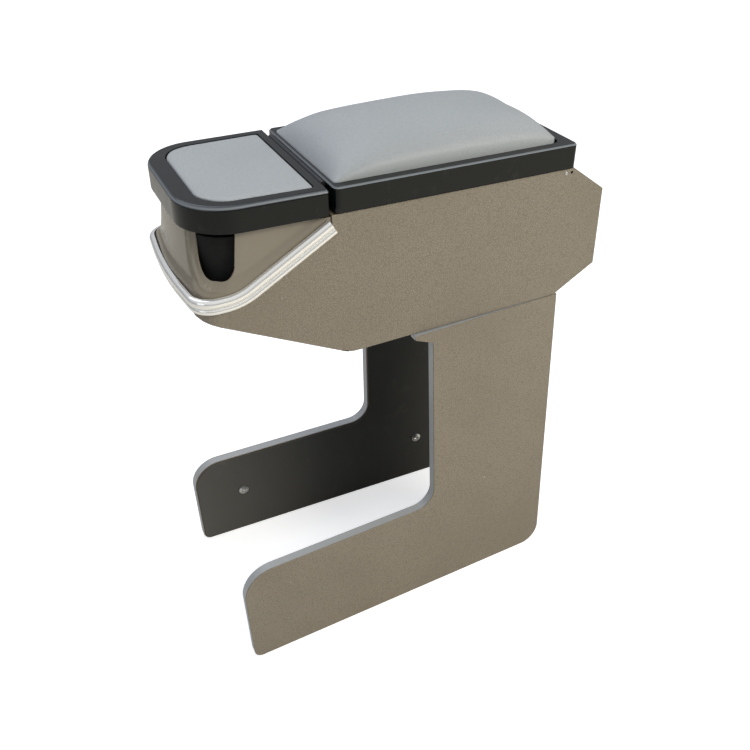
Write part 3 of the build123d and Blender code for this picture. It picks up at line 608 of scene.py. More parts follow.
def filleted_path(points: Array, radii: Array, line_steps: int, arc_steps: int) -> Array:
    """Points along a polyline whose inner corners are arcs.

    At each corner the arc starts and ends r * tan(turn / 2) from it, and its centre lies
    r / cos(turn / 2) away along the line that halves the corner. Every line and every arc
    has a fixed number of points, so two such paths match point for point.

    Args:
        points: Corners, one row each.
        radii: Radius at each inner corner.
        line_steps: Points on each straight stretch.
        arc_steps: Points on each arc.

    Returns:
        The points of the path, one row each.
    """
    before = points[1:-1] - points[:-2]
    after = points[2:] - points[1:-1]
    into = before / np.linalg.norm(before, axis=1, keepdims=True)
    out = after / np.linalg.norm(after, axis=1, keepdims=True)
    half_turn = np.arccos(np.clip((into * out).sum(1), -1, 1)) / 2
    tangent = (radii * np.tan(half_turn))[:, None]
    start = points[1:-1] - into * tangent
    end = points[1:-1] + out * tangent
    inward = out - into
    inward = inward / np.linalg.norm(inward, axis=1, keepdims=True)
    centre = points[1:-1] + inward * (radii / np.cos(half_turn))[:, None]
    share = np.linspace(-1, 1, arc_steps)[None, :, None]
    across = (into + out) / np.linalg.norm(into + out, axis=1, keepdims=True)
    angle = share * half_turn[:, None, None]
    arcs = centre[:, None] + radii[:, None, None] * (
        np.sin(angle) * across[:, None] - np.cos(angle) * inward[:, None]
    )
    line_starts = np.concatenate([points[:1], end])
    line_ends = np.concatenate([start, points[-1:]])
    line_share = np.linspace(0, 1, line_steps)[None, :, None]
    lines = line_starts[:, None] * (1 - line_share) + line_ends[:, None] * line_share
    stretches = [lines[0]]
    for arc, line in zip(arcs, lines[1:]):
        stretches += [arc[1:], line[1:]]
    return np.concatenate(stretches)


def smoothstep(value: Array) -> Array:
    """Cubic step 3t² - 2t³ of a value held between 0 and 1."""
    held = np.clip(value, 0, 1)
    return held * held * (3 - 2 * held)


def monotone_curve(knots: Array, values: Array, at: Array) -> Array:
    """Cubic through the knots that never overshoots them.

    The slope at a knot is the harmonic mean of the slopes beside it, or zero where they
    differ in sign, and 1.6 times the span's own at both ends. Each span is a Hermite cubic.

    Args:
        knots: Places of the knots, rising.
        values: Values at the knots.
        at: Where the curve is wanted.

    Returns:
        The values of the curve.
    """
    end_slope = 1.6
    width = np.diff(knots)
    slope = np.diff(values) / width
    product = slope[:-1] * slope[1:]
    mean = np.where(product > 0, 2 * product / np.where(product > 0, slope[:-1] + slope[1:], 1), 0)
    tangent = np.concatenate([[end_slope * slope[0]], mean, [end_slope * slope[-1]]])
    span = np.clip(np.searchsorted(knots, at, side="right") - 1, 0, len(width) - 1)
    t = (at - knots[span]) / width[span]
    return (
        values[span] * (1 + 2 * t) * (1 - t) ** 2
        + values[span + 1] * t**2 * (3 - 2 * t)
        + tangent[span] * width[span] * t * (1 - t) ** 2
        + tangent[span + 1] * width[span] * t**2 * (t - 1)
    )


@dataclass(frozen=True)
class Rounding:
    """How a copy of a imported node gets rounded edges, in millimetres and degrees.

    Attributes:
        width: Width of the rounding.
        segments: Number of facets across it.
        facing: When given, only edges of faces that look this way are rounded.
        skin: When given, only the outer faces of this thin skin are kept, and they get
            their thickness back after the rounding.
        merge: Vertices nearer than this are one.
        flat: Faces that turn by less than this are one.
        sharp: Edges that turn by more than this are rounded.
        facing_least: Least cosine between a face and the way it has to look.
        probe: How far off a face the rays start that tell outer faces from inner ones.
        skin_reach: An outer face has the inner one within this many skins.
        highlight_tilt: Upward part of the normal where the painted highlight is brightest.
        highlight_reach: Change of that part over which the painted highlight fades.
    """

    width: float
    segments: int = 3
    facing: tuple[float, float, float] | None = None
    skin: float = 0.0
    merge: float = 0.002
    flat: float = 0.6
    sharp: float = 32.0
    facing_least: float = 0.9
    probe: float = 0.1
    skin_reach: float = 1.6
    highlight_tilt: float = 0.62
    highlight_reach: float = 0.34

    def inner_faces(self, work: bmesh.types.BMesh) -> list[bmesh.types.BMFace]:
        """Faces of a thin skin that don't look outwards.

        An inner face has something before it, or no face close behind it.

        Args:
            work: The skin's mesh.

        Returns:
            The faces.
        """
        tree = BVHTree.FromBMesh(work)
        inner = []
        for face in work.faces:
            start = face.calc_center_median()
            step = face.normal * self.probe * MM
            blocked = tree.ray_cast(start + step, face.normal)[0] is not None
            depth = tree.ray_cast(start - step, -face.normal)[3]
            if blocked or depth is None or depth > self.skin_reach * self.skin * MM:
                inner.append(face)
        return inner

    def edges(self, work: bmesh.types.BMesh) -> list[bmesh.types.BMEdge]:
        """Sharp edges between two faces, one of which looks the way asked for.

        Args:
            work: The mesh, with its flat faces merged.

        Returns:
            The edges.
        """
        sharp = np.radians(self.sharp)
        edges = [e for e in work.edges if len(e.link_faces) == 2 and e.calc_face_angle() > sharp]
        if self.facing is None:
            return edges
        look = Vector(self.facing)
        return [
            edge
            for edge in edges
            if max(face.normal.dot(look) for face in edge.link_faces) > self.facing_least
        ]

    def applied(self, node: str) -> Object:
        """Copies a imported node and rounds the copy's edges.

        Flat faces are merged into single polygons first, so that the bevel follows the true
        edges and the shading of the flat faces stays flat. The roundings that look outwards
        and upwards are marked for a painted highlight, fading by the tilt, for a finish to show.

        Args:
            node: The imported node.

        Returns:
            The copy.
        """
        work = bmesh.new()
        work.from_mesh(frame["nodes"][node].data)
        bmesh.ops.remove_doubles(work, verts=work.verts, dist=self.merge * MM)
        if self.skin:
            bmesh.ops.delete(work, geom=self.inner_faces(work), context="FACES")
        bmesh.ops.dissolve_limit(
            work,
            angle_limit=np.radians(self.flat),
            verts=work.verts,
            edges=work.edges,
        )
        bmesh.ops.bevel(
            work,
            geom=self.edges(work),
            offset=self.width * MM,
            offset_type="OFFSET",
            segments=self.segments,
            profile=0.5,
            affect="EDGES",
            clamp_overlap=True,
        )
        mesh = bpy.data.meshes.new(f"soft_{node}")
        work.to_mesh(mesh)
        work.free()
        mesh.shade_smooth()
        normals = np.empty(len(mesh.vertices) * 3)
        mesh.vertices.foreach_get("normal", normals)
        # Marks the painted highlight: strongest where the normal tilts up by the given share,
        # fading on both sides.
        off_tilt = np.abs(normals[2::3] - self.highlight_tilt)
        rubbed = mesh.attributes.new(PAINTED_EDGE_HIGHLIGHT, "FLOAT", "POINT")
        rubbed.data.foreach_set("value", np.maximum(0, 1 - off_tilt / self.highlight_reach))
        piece = in_scene(f"soft_{node}", mesh)
        if self.skin:
            wall = piece.modifiers.new("wall", "SOLIDIFY")
            wall.thickness = self.skin * MM
            wall.offset = -1.0
        shading = piece.modifiers.new("flat faces stay flat", "WEIGHTED_NORMAL")
        shading.weight = 100
        shading.keep_sharp = True
        return piece


def new_looks() -> dict[str, Material]:
    """Builds the material of every slot."""
    return {slot: finish.material() for slot, finish in FINISHES.items()}


@dataclass(frozen=True)
class Palette:
    """Every finish of the console by its slot, built once, and how it is put on."""

    looks: dict[str, Material] = field(default_factory=new_looks)

    def dress_node(self, name: str, slot: str) -> None:
        """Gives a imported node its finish.

        Args:
            name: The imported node.
            slot: The record's material slot.
        """
        slots = frame["nodes"][name].data.materials
        slots.clear()
        slots.append(self.looks[slot])
        log.info("node %s is %s", name, self.looks[slot].name)

    def dress(self, piece: Object, slot: str, body: Body, node: str) -> None:
        """Gives a new piece its finish and its body, and hides the node that it stands for.

        Args:
            piece: The new piece.
            slot: The record's material slot.
            body: The body it rides on.
            node: The node that it replaces.
        """
        piece.data.materials.clear()
        piece.data.materials.append(self.looks[slot])
        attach(piece, body.value)
        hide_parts(node)
        log.info("piece %s rides on %s", piece.name, body.value)

    def soften(self, node: str, slot: str, body: Body, rounding: Rounding) -> None:
        """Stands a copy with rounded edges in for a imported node.

        Args:
            node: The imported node.
            slot: The record's material slot.
            body: The body it rides on.
            rounding: How the edges are rounded.
        """
        self.dress(rounding.applied(node), slot, body, node)


@dataclass(frozen=True)
class Layout:
    """Sizes in millimetres that the dressed pieces share with the solids."""

    split_x: float = -62.8
    side_front_x: float = -65.3
    half_width: float = 70.0
    rim_z: float = 373.5
    rim_end_z: float = 415.2
    rim_knee_x: float = -141.0
    rim_blend: float = 8.0
    knee_radius: float = 44.0
    plan_corner_x: float = -172.0
    plan_front_x: float = -178.9
    plan_corner_radius: float = 16.0
    plan_bow_radius: float = 400.0
    lid_seat_z: float = 424.5
    lid_fall: float = 0.03
    lid_height: float = 20.0

    def on_lid(self, local: Array) -> Array:
        """Carries points from the lids' plane into the row frame.

        The plane's x runs rearwards along (1, 0, -fall), its z along (fall, 0, 1), both made
        one unit long, and its origin is the lids' seat at the split.

        Args:
            local: Points on the lids' plane, one row each.

        Returns:
            The same points in the row frame.
        """
        unit = 1 / np.hypot(1, self.lid_fall)
        fall = self.lid_fall * unit
        axes = np.array([[unit, 0, -fall], [0, 1, 0], [fall, 0, unit]])
        return np.array([self.split_x, 0, self.lid_seat_z]) + local @ axes

    def seat_height(self, x: Array) -> Array:
        """Height of the lids' seat, which falls evenly from the split rearwards."""
        return self.lid_seat_z - self.lid_fall * (x - self.split_x)

    def rim_height(self, x: Array) -> Array:
        """Height of the joint under the nose.

        It is level, then rises along the sides, with half of (x + sqrt(x² + blend²)) in
        place of a sharp bend, where x counts from the knee.

        Args:
            x: Places along the console.

        Returns:
            The joint's height at each of them.
        """
        rise = (self.rim_end_z - self.rim_z) / (self.side_front_x - self.rim_knee_x)
        along = x - self.rim_knee_x
        return self.rim_z + rise * 0.5 * (along + np.sqrt(along**2 + self.rim_blend**2))


@dataclass
class TrimStrip:
    """Bright strip with two beads round the joint of nose and box."""

    layout: Layout
    palette: Palette
    width: float = 12.6
    depth: float = 4.5
    groove: float = 1.4
    back: float = 0.1
    upper_share: float = 0.60
    lower_depth_share: float = 0.74
    bead_steps: int = 15
    line_steps: int = 8
    arc_steps: int = 14
    sharp_degrees: float = 50.0

    def profile(self) -> Array:
        """Section as (outwards, upwards) points.

        The upper bead is a half circle squeezed to the strip's depth, the lower one a flatter
        half ellipse, and a narrow groove parts them.

        Returns:
            The section's points, one row each.
        """
        turn = np.linspace(0, np.pi, self.bead_steps)
        top = self.width / 2
        upper = self.upper_share * top
        lower = (1 - self.upper_share) * top
        beads = [
            (top - upper, upper, self.depth),
            (lower - top, lower, self.lower_depth_share * self.depth),
        ]
        parts = [
            np.stack(
                [self.groove + (depth - self.groove) * np.sin(turn), middle + half * np.cos(turn)],
                axis=1,
            )
            for middle, half, depth in beads
        ]
        return np.concatenate([*parts, [[self.back, -top], [self.back, top]]])

    def path(self) -> Array:
        """Centre line on the box's outline, from the left end round the nose to the right.

        Returns:
            The line's points, one row each.
        """
        size = self.layout
        left = np.array(
            [
                [size.side_front_x, -size.half_width, size.rim_end_z],
                [size.rim_knee_x, -size.half_width, size.rim_z],
                [size.plan_corner_x, -size.half_width, size.rim_z],
            ]
        )
        front = [[size.plan_front_x, 0, size.rim_z]]
        corners = np.concatenate([left, front, left[::-1] * [1, -1, 1]])
        sides = [size.knee_radius, size.plan_corner_radius]
        radii = np.array([*sides, size.plan_bow_radius, *sides[::-1]])
        return filleted_path(corners, radii, self.line_steps, self.arc_steps)

    def build(self) -> None:
        """Carries the section along the path, kept square to it and facing outwards."""
        path = self.path()
        along = np.gradient(path, axis=0)
        along /= np.linalg.norm(along, axis=1, keepdims=True)
        outward = np.stack([-along[:, 1], along[:, 0], np.zeros(len(along))], axis=1)
        outward /= np.linalg.norm(outward, axis=1, keepdims=True)
        upward = np.cross(along, outward)
        upward *= np.sign(upward[:, 2:3])
        section = self.profile()
        points = (
            path[:, None]
            + section[None, :, :1] * outward[:, None]
            + section[None, :, 1:] * upward[:, None]
        )
        rows, columns = points.shape[:2]
        ends = [range(columns), range((rows - 1) * columns, rows * columns)]
        piece = make_piece("trim_strip", points, [*grid_faces(rows, columns, wrap=True), *ends])
        piece.data.set_sharp_from_angle(angle=np.radians(self.sharp_degrees))
        self.palette.dress(piece, "chrome", Body.CONSOLE, "chrome_trim")


@dataclass
class NoseShell:
    """Moulded nose: leaning walls, a flared foot along the strip, and two finger notches."""

    layout: Layout
    palette: Palette
    wall: float = 1.5
    rim_rounding: float = 0.45
    rim_degrees: float = 50.0
    foot_inset: float = 3.0
    top_inset: float = 4.5
    top_back: float = 9.5
    top_radius: float = 36.0
    top_share: float = 0.6
    bow_radius: float = 250.0
    lid_clearance: float = 2.7
    strip_height: float = 8.0
    flare_height: float = 6.0
    crease_height: float = 0.7
    crease_drop: float = 2.0
    crease_width: float = 2.2
    notch_turn: float = 56.0
    notch_foot_rear: float = 11.5
    notch_head_rear: float = 16.5
    notch_to_front: float = 18.0
    notch_floor_z: float = 388.5
    rear_radius: float = 10.0
    front_radius: float = 19.0
    shelf_run: float = 30.0
    shelf_share: float = 0.45
    lip_width: float = 9.5
    lip_ledge: float = 3.0
    lip_depth: float = 3.4
    lip_ridge: float = 1.4
    lip_start: float = 2.0
    lip_run: float = 16.0
    ledge_slope: float = 0.3
    ridge_offset: float = 1.8
    ridge_width: float = 1.3
    outline_steps: int = 40
    columns_behind: int = 70
    columns_within: int = 45
    columns_ahead: int = 60
    rows_below: int = 41
    rows_above: int = 33

    def outline(self, inset: float, back: float, radius: float) -> Array:
        """Half of the nose's plan, from the left rear end to the middle of the front.

        Args:
            inset: How far its sides lie inside the box's sides.
            back: How far its front lies behind the box's front.
            radius: Radius of its corner.

        Returns:
            The outline's points, one row each.
        """
        size = self.layout
        side = size.half_width - inset
        front = size.plan_front_x + back
        shoulder = front + size.plan_corner_x - size.plan_front_x
        corners = np.array(
            [[size.side_front_x, -side], [shoulder, -side], [front, 0], [shoulder, side]]
        )
        steps = self.outline_steps
        radii = np.array([radius, self.bow_radius])
        to_middle = 3 * steps - 2 + steps // 2
        return filleted_path(corners, radii, steps, steps + 1)[: to_middle + 1]

    def notch_span(self, curve: Array, length: Array, to_rear: float) -> tuple[float, float]:
        """Lengths along the outline at the notch's rear and front edges.

        The notch is centred on the ray that leaves the corner's centre at the notch's turn
        from the nose, and a point's offset from that ray is its dot product with the normal.

        Args:
            curve: Half outline from the rear to the middle of the front.
            length: Length along it at each of its points.
            to_rear: Offset of the notch's rear edge from its middle ray.

        Returns:
            The length at the rear edge and the one at the front edge.
        """
        size = self.layout
        inset = self.top_inset + self.top_radius
        centre = [size.plan_front_x + self.top_back + self.top_radius, inset - size.half_width]
        turn = np.radians(self.notch_turn)
        offset = (curve - centre) @ np.array([np.sin(turn), -np.cos(turn)])
        rear, front = np.interp([to_rear, -self.notch_to_front], offset[::-1], length[::-1])
        return float(rear), float(front)

    def columns(self, curve: Array, to_rear: float) -> tuple[Array, Array, Array]:
        """Points of one outline at the grid's columns, which crowd towards the notch's edges.

        Args:
            curve: Half outline from the rear to the middle of the front.
            to_rear: Offset of the notch's rear edge from its middle ray.

        Returns:
            The points, the outline's heading and the length along it at each of them.
        """
        step = np.linalg.norm(np.diff(curve, axis=0), axis=1)
        length = np.concatenate([[0], np.cumsum(step)])
        rear, front = self.notch_span(curve, length, to_rear)
        crowding = 0.5 - 0.5 * np.cos(np.linspace(0, np.pi, self.columns_within))
        behind = np.linspace(0, rear, self.columns_behind)
        within = rear + (front - rear) * crowding
        ahead = np.linspace(front, length[-1], self.columns_ahead)
        place = np.concatenate([behind, within[1:], ahead[1:]])
        slope = np.gradient(curve, length, axis=0)
        points = np.stack([np.interp(place, length, curve[:, i]) for i in (0, 1)], axis=1)
        heading = np.stack([np.interp(place, length, slope[:, i]) for i in (0, 1)], axis=1)
        return points, heading, place

    def rows(self, low: Array, high: Array, aside: Array, radius: Array) -> Array:
        """Heights of the grid's rows at each column.

        One row follows the notch's floor, which rises to its sides as a quarter circle. Away
        from the notch that row eases to a fixed share of the wall's height.

        Args:
            low: Height of the wall's foot at each column.
            high: Height of its top.
            aside: How far the column lies beyond the floor's flat part.
            radius: Radius of the floor's end on that side.

        Returns:
            Heights as an array of (rows, columns).
        """
        into_corner = np.clip(aside, 0, radius)
        shelf = self.notch_floor_z + radius - np.sqrt(radius**2 - into_corner**2)
        beyond = smoothstep((aside - radius) / self.shelf_run)
        shelf = shelf * (1 - beyond) + (low + self.shelf_share * (high - low)) * beyond
        below = np.linspace(0, 1, self.rows_below)[:, None]
        above = np.linspace(0, 1, self.rows_above)[1:, None]
        return np.concatenate([low + (shelf - low) * below, shelf + (high - shelf) * above])

    def lip(self, heights: Array, aside: Array, radius: Array, beyond_rear: Array) -> Array:
        """How far the wall sinks round the notch.

        At the distance d from the notch in the unrolled wall, the wall sinks by the lip's
        depth times a smooth step of (width - d) / (width - ledge), and by slope (ledge - d) on
        the ledge beside the notch, and a narrow bell curve raises a ridge outside the ledge.
        All of it fades in from the notch's rear edge, on the front and bottom sides only.

        Args:
            heights: Heights of the grid's points.
            aside: How far each column lies beyond the floor's flat part.
            radius: Radius of the floor's end on that side.
            beyond_rear: How far each column lies ahead of the notch's rear edge.

        Returns:
            The sinking at each point.
        """
        under = self.notch_floor_z + radius - heights
        outside = np.hypot(np.maximum(aside, 0), np.maximum(under, 0))
        distance = outside + np.minimum(np.maximum(aside, under), 0) - radius
        into_lip = (self.lip_width - distance) / (self.lip_width - self.lip_ledge)
        ledge = self.ledge_slope * np.clip(self.lip_ledge - distance, 0, self.lip_ledge)
        off_ridge = (distance - self.lip_ledge - self.ridge_offset) / self.ridge_width
        ridge = self.lip_ridge * np.exp(-(off_ridge**2))
        fade = smoothstep((beyond_rear - self.lip_start) / self.lip_run)
        return (self.lip_depth * smoothstep(into_lip) + ledge - ridge) * fade

    def build(self) -> None:
        """Lofts the foot outline to the top one and cuts the notches out of the grid.

        A point is (1 - h) * foot(u) + h * top(u) at height h. Near the foot the wall flares
        out by the inset times a smooth step, with a raised crease over the flare.
        """
        size = self.layout
        foot_line = self.outline(self.foot_inset, self.foot_inset, size.plan_corner_radius)
        head_line = self.outline(self.top_inset, self.top_back, self.top_radius)
        foot = self.columns(foot_line, self.notch_foot_rear)
        head = self.columns(head_line, self.notch_head_rear)
        line, along, place = [
            (1 - self.top_share) * low + self.top_share * high for low, high in zip(foot, head)
        ]
        first = self.columns_behind - 1
        last = first + self.columns_within - 1
        middle = place[last] - self.front_radius
        radius = np.where(place > middle, self.front_radius, self.rear_radius)
        aside = np.maximum(place - middle, place[first] + self.rear_radius - place)
        low = size.rim_height(line[:, 0])
        high = size.seat_height(line[:, 0]) - self.lid_clearance
        heights = self.rows(low, high, aside, radius)
        share = ((heights - size.rim_z) / (size.lid_seat_z - size.rim_z))[..., None]
        plan = foot[0] * (1 - share) + head[0] * share
        along /= np.linalg.norm(along, axis=1, keepdims=True)
        outward = np.stack([-along[:, 1], along[:, 0]], axis=1)
        above = heights - low - self.strip_height
        flare = self.foot_inset * smoothstep(1 - above / self.flare_height)
        off_crease = (above - self.flare_height + self.crease_drop) / self.crease_width
        crease = self.crease_height * np.exp(-(off_crease**2))
        sink = self.lip(heights, aside, radius, place - place[first])
        plan = plan + outward * (flare + crease - sink)[..., None]
        left_half = np.concatenate([plan, heights[..., None]], axis=2)
        right_half = left_half[:, ::-1] * np.array([1, -1, 1])
        whole = np.concatenate([left_half, right_half[:, 1:]], axis=1)
        rows, columns = whole.shape[:2]
        faces = grid_faces(rows, columns)
        row, column = faces[:, 0] // columns, faces[:, 0] % columns
        other = columns - 2 - column
        in_notch = ((column >= first) & (column < last)) | ((other >= first) & (other < last))
        open_above = in_notch & (row >= self.rows_below - 1)
        shell = make_piece("nose_moulding", whole, faces[~open_above])
        thickness = shell.modifiers.new("wall", "SOLIDIFY")
        thickness.thickness = self.wall * MM
        thickness.offset = -1.0
        rim = shell.modifiers.new("rounded rims", "BEVEL")
        rim.width = self.rim_rounding * MM
        rim.segments = 2
        rim.limit_method = "ANGLE"
        rim.angle_limit = np.radians(self.rim_degrees)
        self.palette.dress(shell, "nose_plastic", Body.CONSOLE, "nose_shell")


@dataclass
class BoxAndLegs:
    """Rounded edges on the box's cover and on each leg's cover, band and lining."""

    palette: Palette
    box_cover: Rounding = Rounding(1.8, segments=4, skin=1.0)
    leg_cover_width: float = 0.8
    band: Rounding = Rounding(0.35, segments=2)
    lining: Rounding = Rounding(0.5, segments=2)

    def build(self) -> None:
        """Rounds the box's cover, then the pieces of each leg."""
        soften = self.palette.soften
        soften("body_cover", "taupe_vinyl", Body.CONSOLE, self.box_cover)
        for side in Side:
            leg = f"{side.name.lower()}_leg"
            cover = Rounding(self.leg_cover_width, facing=(0.0, float(side.value), 0.0))
            soften(f"{leg}_cover", "taupe_vinyl", Body.CONSOLE, cover)
            soften(f"{leg}_edge_band", "edge_band", Body.CONSOLE, self.band)
            soften(f"{leg}_lining", "black_lining", Body.CONSOLE, self.lining)


def crowded(count: int, length: float) -> Array:
    """Places along a centred line that crowd towards its ends, as 1 - (1 - |t|)^1.25.

    Args:
        count: Number of places.
        length: Length of the line.

    Returns:
        The places.
    """
    crowding = 1.25
    ease = np.linspace(-1, 1, count)
    return np.sign(ease) * (1 - (1 - np.abs(ease)) ** crowding) * length / 2


def rounded_rectangle(grid: tuple[int, int], size: Span, radii: Span) -> Array:
    """Grid that fills a rectangle with rounded corners, centred on its middle.

    A corner's square is pressed onto a quarter disc: each coordinate is scaled by the square
    root of one minus half the square of the other.

    Args:
        grid: Points along the length and along the width.
        size: Length along x and width along y.
        radii: Radius of the corners at low x and of those at high x.

    Returns:
        Array of (columns, rows, 2) points.
    """
    length, width = size
    x, y = np.meshgrid(crowded(grid[0], length), crowded(grid[1], width), indexing="ij")
    radius = np.where(x < 0, *radii)
    over_x = np.clip((np.abs(x) - (length / 2 - radius)) / radius, 0, 1)
    over_y = np.clip((np.abs(y) - (width / 2 - radius)) / radius, 0, 1)
    corner_x = over_x * np.sqrt(1 - over_y**2 / 2)
    corner_y = over_y * np.sqrt(1 - over_x**2 / 2)
    x = x + np.sign(x) * (corner_x - over_x) * radius
    y = y + np.sign(y) * (corner_y - over_y) * radius
    return np.stack([x, y], axis=2)


def edge_numbers(columns: int, rows: int) -> Array:
    """Vertex numbers round the border of a grid, in order."""
    number = np.arange(columns * rows).reshape(columns, rows)
    return np.concatenate([number[:, 0], number[-1, 1:], number[-2::-1, -1], number[0, -2:0:-1]])


@dataclass
class Lids:
    """Frames and padded tops of both lids."""

    layout: Layout
    palette: Palette
    front_frame: Rounding = Rounding(1.2)
    rear_frame: Rounding = Rounding(1.3)
    rear_front: float = 3.3
    rear_size: Span = (198.2, 124.4)
    rear_corners: Span = (4.0, 13.0)
    rear_grid: tuple[int, int] = (97, 61)
    rear_skirts: tuple[Span, ...] = ((17.0, 0.0), (6.0, 0.4))
    crown_at: tuple[float, ...] = (0.0, 0.08, 0.2, 0.4, 0.6, 0.8, 0.92, 1.0)
    crown: tuple[float, ...] = (0.0, 13.2, 20.5, 23.2, 24.3, 21.9, 17.2, 0.0)
    side_power: float = 2.54
    side_root: float = 2.71
    front_start: float = -94.0
    front_size: Span = (81.2, 124.0)
    front_corners: Span = (25.0, 3.5)
    front_grid: tuple[int, int] = (81, 81)
    front_skirts: tuple[Span, ...] = ((16.0, 0.0), (6.0, 0.3))
    front_taper: float = 3.0
    front_sink: float = 0.9
    front_roll: float = 1.5
    front_dome: float = 0.6
    roll_power: int = 18
    foam_cap: float = 1.2
    foam_pressure: float = 4.0
    foam_free_above: float = 0.5
    cloth_frames: int = 20

    def closed_pad(self, name: str, plan: Array, height: Array, skirts: Iterable[Span]) -> Object:
        """Closes a domed top with skirts and a flat bottom.

        Args:
            name: Name of the piece.
            plan: Grid of x and y on the lids' plane.
            height: Height of each grid point above the lids' plane.
            skirts: Pairs of height and inward offset of each ring below the border.

        Returns:
            The closed pad.
        """
        columns, rows = plan.shape[:2]
        top = np.concatenate([plan, height[..., None]], axis=2).reshape(-1, 3)
        above = edge_numbers(columns, rows)
        count = len(above)
        centre = plan.reshape(-1, 2).mean(0)
        offset = top[above, :2] - centre
        reach = np.linalg.norm(offset, axis=1, keepdims=True)
        points = [top]
        faces = [*grid_faces(columns, rows)]
        for index, (level, inset) in enumerate(skirts):
            ring = centre + offset * (1 - inset / reach)
            points.append(np.concatenate([ring, np.full((count, 1), level)], axis=1))
            below = len(top) + index * count + np.arange(count)
            faces += [*np.stack([above, below, np.roll(below, -1), np.roll(above, -1)], axis=1)]
            above = below
        faces.append(above)
        return make_piece(name, self.layout.on_lid(np.concatenate(points)), faces)

    def rear_cushion(self) -> Object:
        """Crowned cushion: a smooth curve along its length times a rounded box across it.

        The height is crown(x) * (1 - |y|^p)^(1/q), with y from -1 to 1 across the width.

        Returns:
            The cushion.
        """
        length, width = self.rear_size
        plan = rounded_rectangle(self.rear_grid, self.rear_size, self.rear_corners)
        x = np.clip(plan[..., 0] / length + 0.5, 0, 1)
        y = np.clip(np.abs(plan[..., 1]) / (width / 2), 0, 1)
        crown = monotone_curve(np.array(self.crown_at), np.array(self.crown), x)
        across = (1 - y**self.side_power) ** (1 / self.side_root)
        height = self.layout.lid_height + crown * across
        plan = plan + np.array([self.rear_front + length / 2, 0])
        return self.closed_pad("armrest_cushion", plan, height, self.rear_skirts)

    def front_pad(self) -> Object:
        """Thin pad with a rolled edge, nearly flat, set into the front lid.

        The edge rolls over by a high power of the distance from the middle, and the sides
        close in towards the nose.

        Returns:
            The pad.
        """
        length, width = self.front_size
        plan = rounded_rectangle(self.front_grid, self.front_size, self.front_corners)
        x = plan[..., 0] / (length / 2)
        y = plan[..., 1] / (width / 2)
        reach = [1 - np.linspace(-1, 1, count) ** self.roll_power for count in self.front_grid]
        roll = np.outer(*reach)
        dome = self.front_dome * (1 - x**2) * (1 - y**2)
        height = self.layout.lid_height - self.front_sink + self.front_roll * roll + dome
        narrow = 1 - (1 - x) / 2 * self.front_taper / (width / 2)
        plan = plan * np.stack([np.ones_like(narrow), narrow], axis=2)
        plan = plan + np.array([self.front_start + length / 2, 0])
        return self.closed_pad("lid_pad", plan, height, self.front_skirts)

    def settle(self, piece: Object) -> None:
        """Swells the leatherette over its foam with a short cloth run.

        The skirt is pinned, and no point may move further than the cap, so that the pad keeps
        the space of its solid.

        Args:
            piece: The pad.
        """
        mesh = piece.data
        start = np.empty(len(mesh.vertices) * 3)
        mesh.vertices.foreach_get("co", start)
        start = start.reshape(-1, 3)
        level = self.layout.seat_height(start[:, 0] / MM) * MM
        free_above = (self.layout.lid_height + self.foam_free_above) * MM
        pinned = np.flatnonzero(start[:, 2] - level < free_above)
        group = piece.vertex_groups.new(name="pinned")
        group.add(pinned.tolist(), 1.0, "REPLACE")
        cloth = piece.modifiers.new("cloth", "CLOTH")
        cloth.settings.quality = 6
        cloth.settings.mass = 0.25
        cloth.settings.tension_stiffness = 12
        cloth.settings.compression_stiffness = 12
        cloth.settings.bending_stiffness = 1.5
        cloth.settings.use_pressure = True
        cloth.settings.uniform_pressure_force = self.foam_pressure
        cloth.settings.vertex_group_mass = group.name
        cloth.settings.effector_weights.gravity = 0
        cloth.point_cache.frame_start = 1
        cloth.point_cache.frame_end = self.cloth_frames
        scene = bpy.context.scene
        for step in range(1, self.cloth_frames + 1):
            scene.frame_set(step)
        shape = piece.evaluated_get(bpy.context.evaluated_depsgraph_get()).to_mesh()
        swollen = np.empty(start.size)
        shape.vertices.foreach_get("co", swollen)
        moved = swollen.reshape(-1, 3) - start
        reach = np.linalg.norm(moved, axis=1, keepdims=True)
        moved *= np.minimum(1, self.foam_cap * MM / np.maximum(reach, 1e-9))
        piece.modifiers.remove(cloth)
        piece.vertex_groups.clear()
        scene.frame_set(1)
        mesh.vertices.foreach_set("co", (start + moved).ravel())
        mesh.update()
        furthest = np.linalg.norm(moved, axis=1).max() / MM
        log.info("%s swelled by up to %.2f mm", piece.name, furthest)

    def build_frames(self) -> None:
        """Rounds the edges of both frames."""
        soften = self.palette.soften
        soften("front_lid_frame", "black_plastic", Body.FRONT_LID, self.front_frame)
        soften("rear_lid_frame", "black_plastic", Body.REAR_LID, self.rear_frame)

    def build_pads(self) -> None:
        """Cushion of the rear lid and pad of the front lid."""
        cushion = self.rear_cushion()
        self.settle(cushion)
        self.palette.dress(cushion, "grey_leatherette", Body.REAR_LID, "rear_cushion")
        pad = self.front_pad()
        self.palette.dress(pad, "grey_leatherette", Body.FRONT_LID, "front_lid_pad")


@dataclass(frozen=True)
class Lamp:
    """A square soft lamp: its place and side in metres, its watts and its colour."""

    name: str
    place: tuple[float, float, float]
    side: float
    watts: float
    colour: str

    def hang(self, aim: tuple[float, float, float]) -> None:
        """Hangs the lamp so that it faces a point.

        Args:
            aim: The point, in metres.
        """
        data = bpy.data.lights.new(self.name, "AREA")
        data.size = self.side
        data.energy = self.watts
        data.color = linear(self.colour)[:3]
        lamp = in_scene(self.name, data)
        lamp.location = self.place
        heading = Vector(aim) - Vector(self.place)
        lamp.rotation_euler = heading.to_track_quat("-Z", "Y").to_euler()


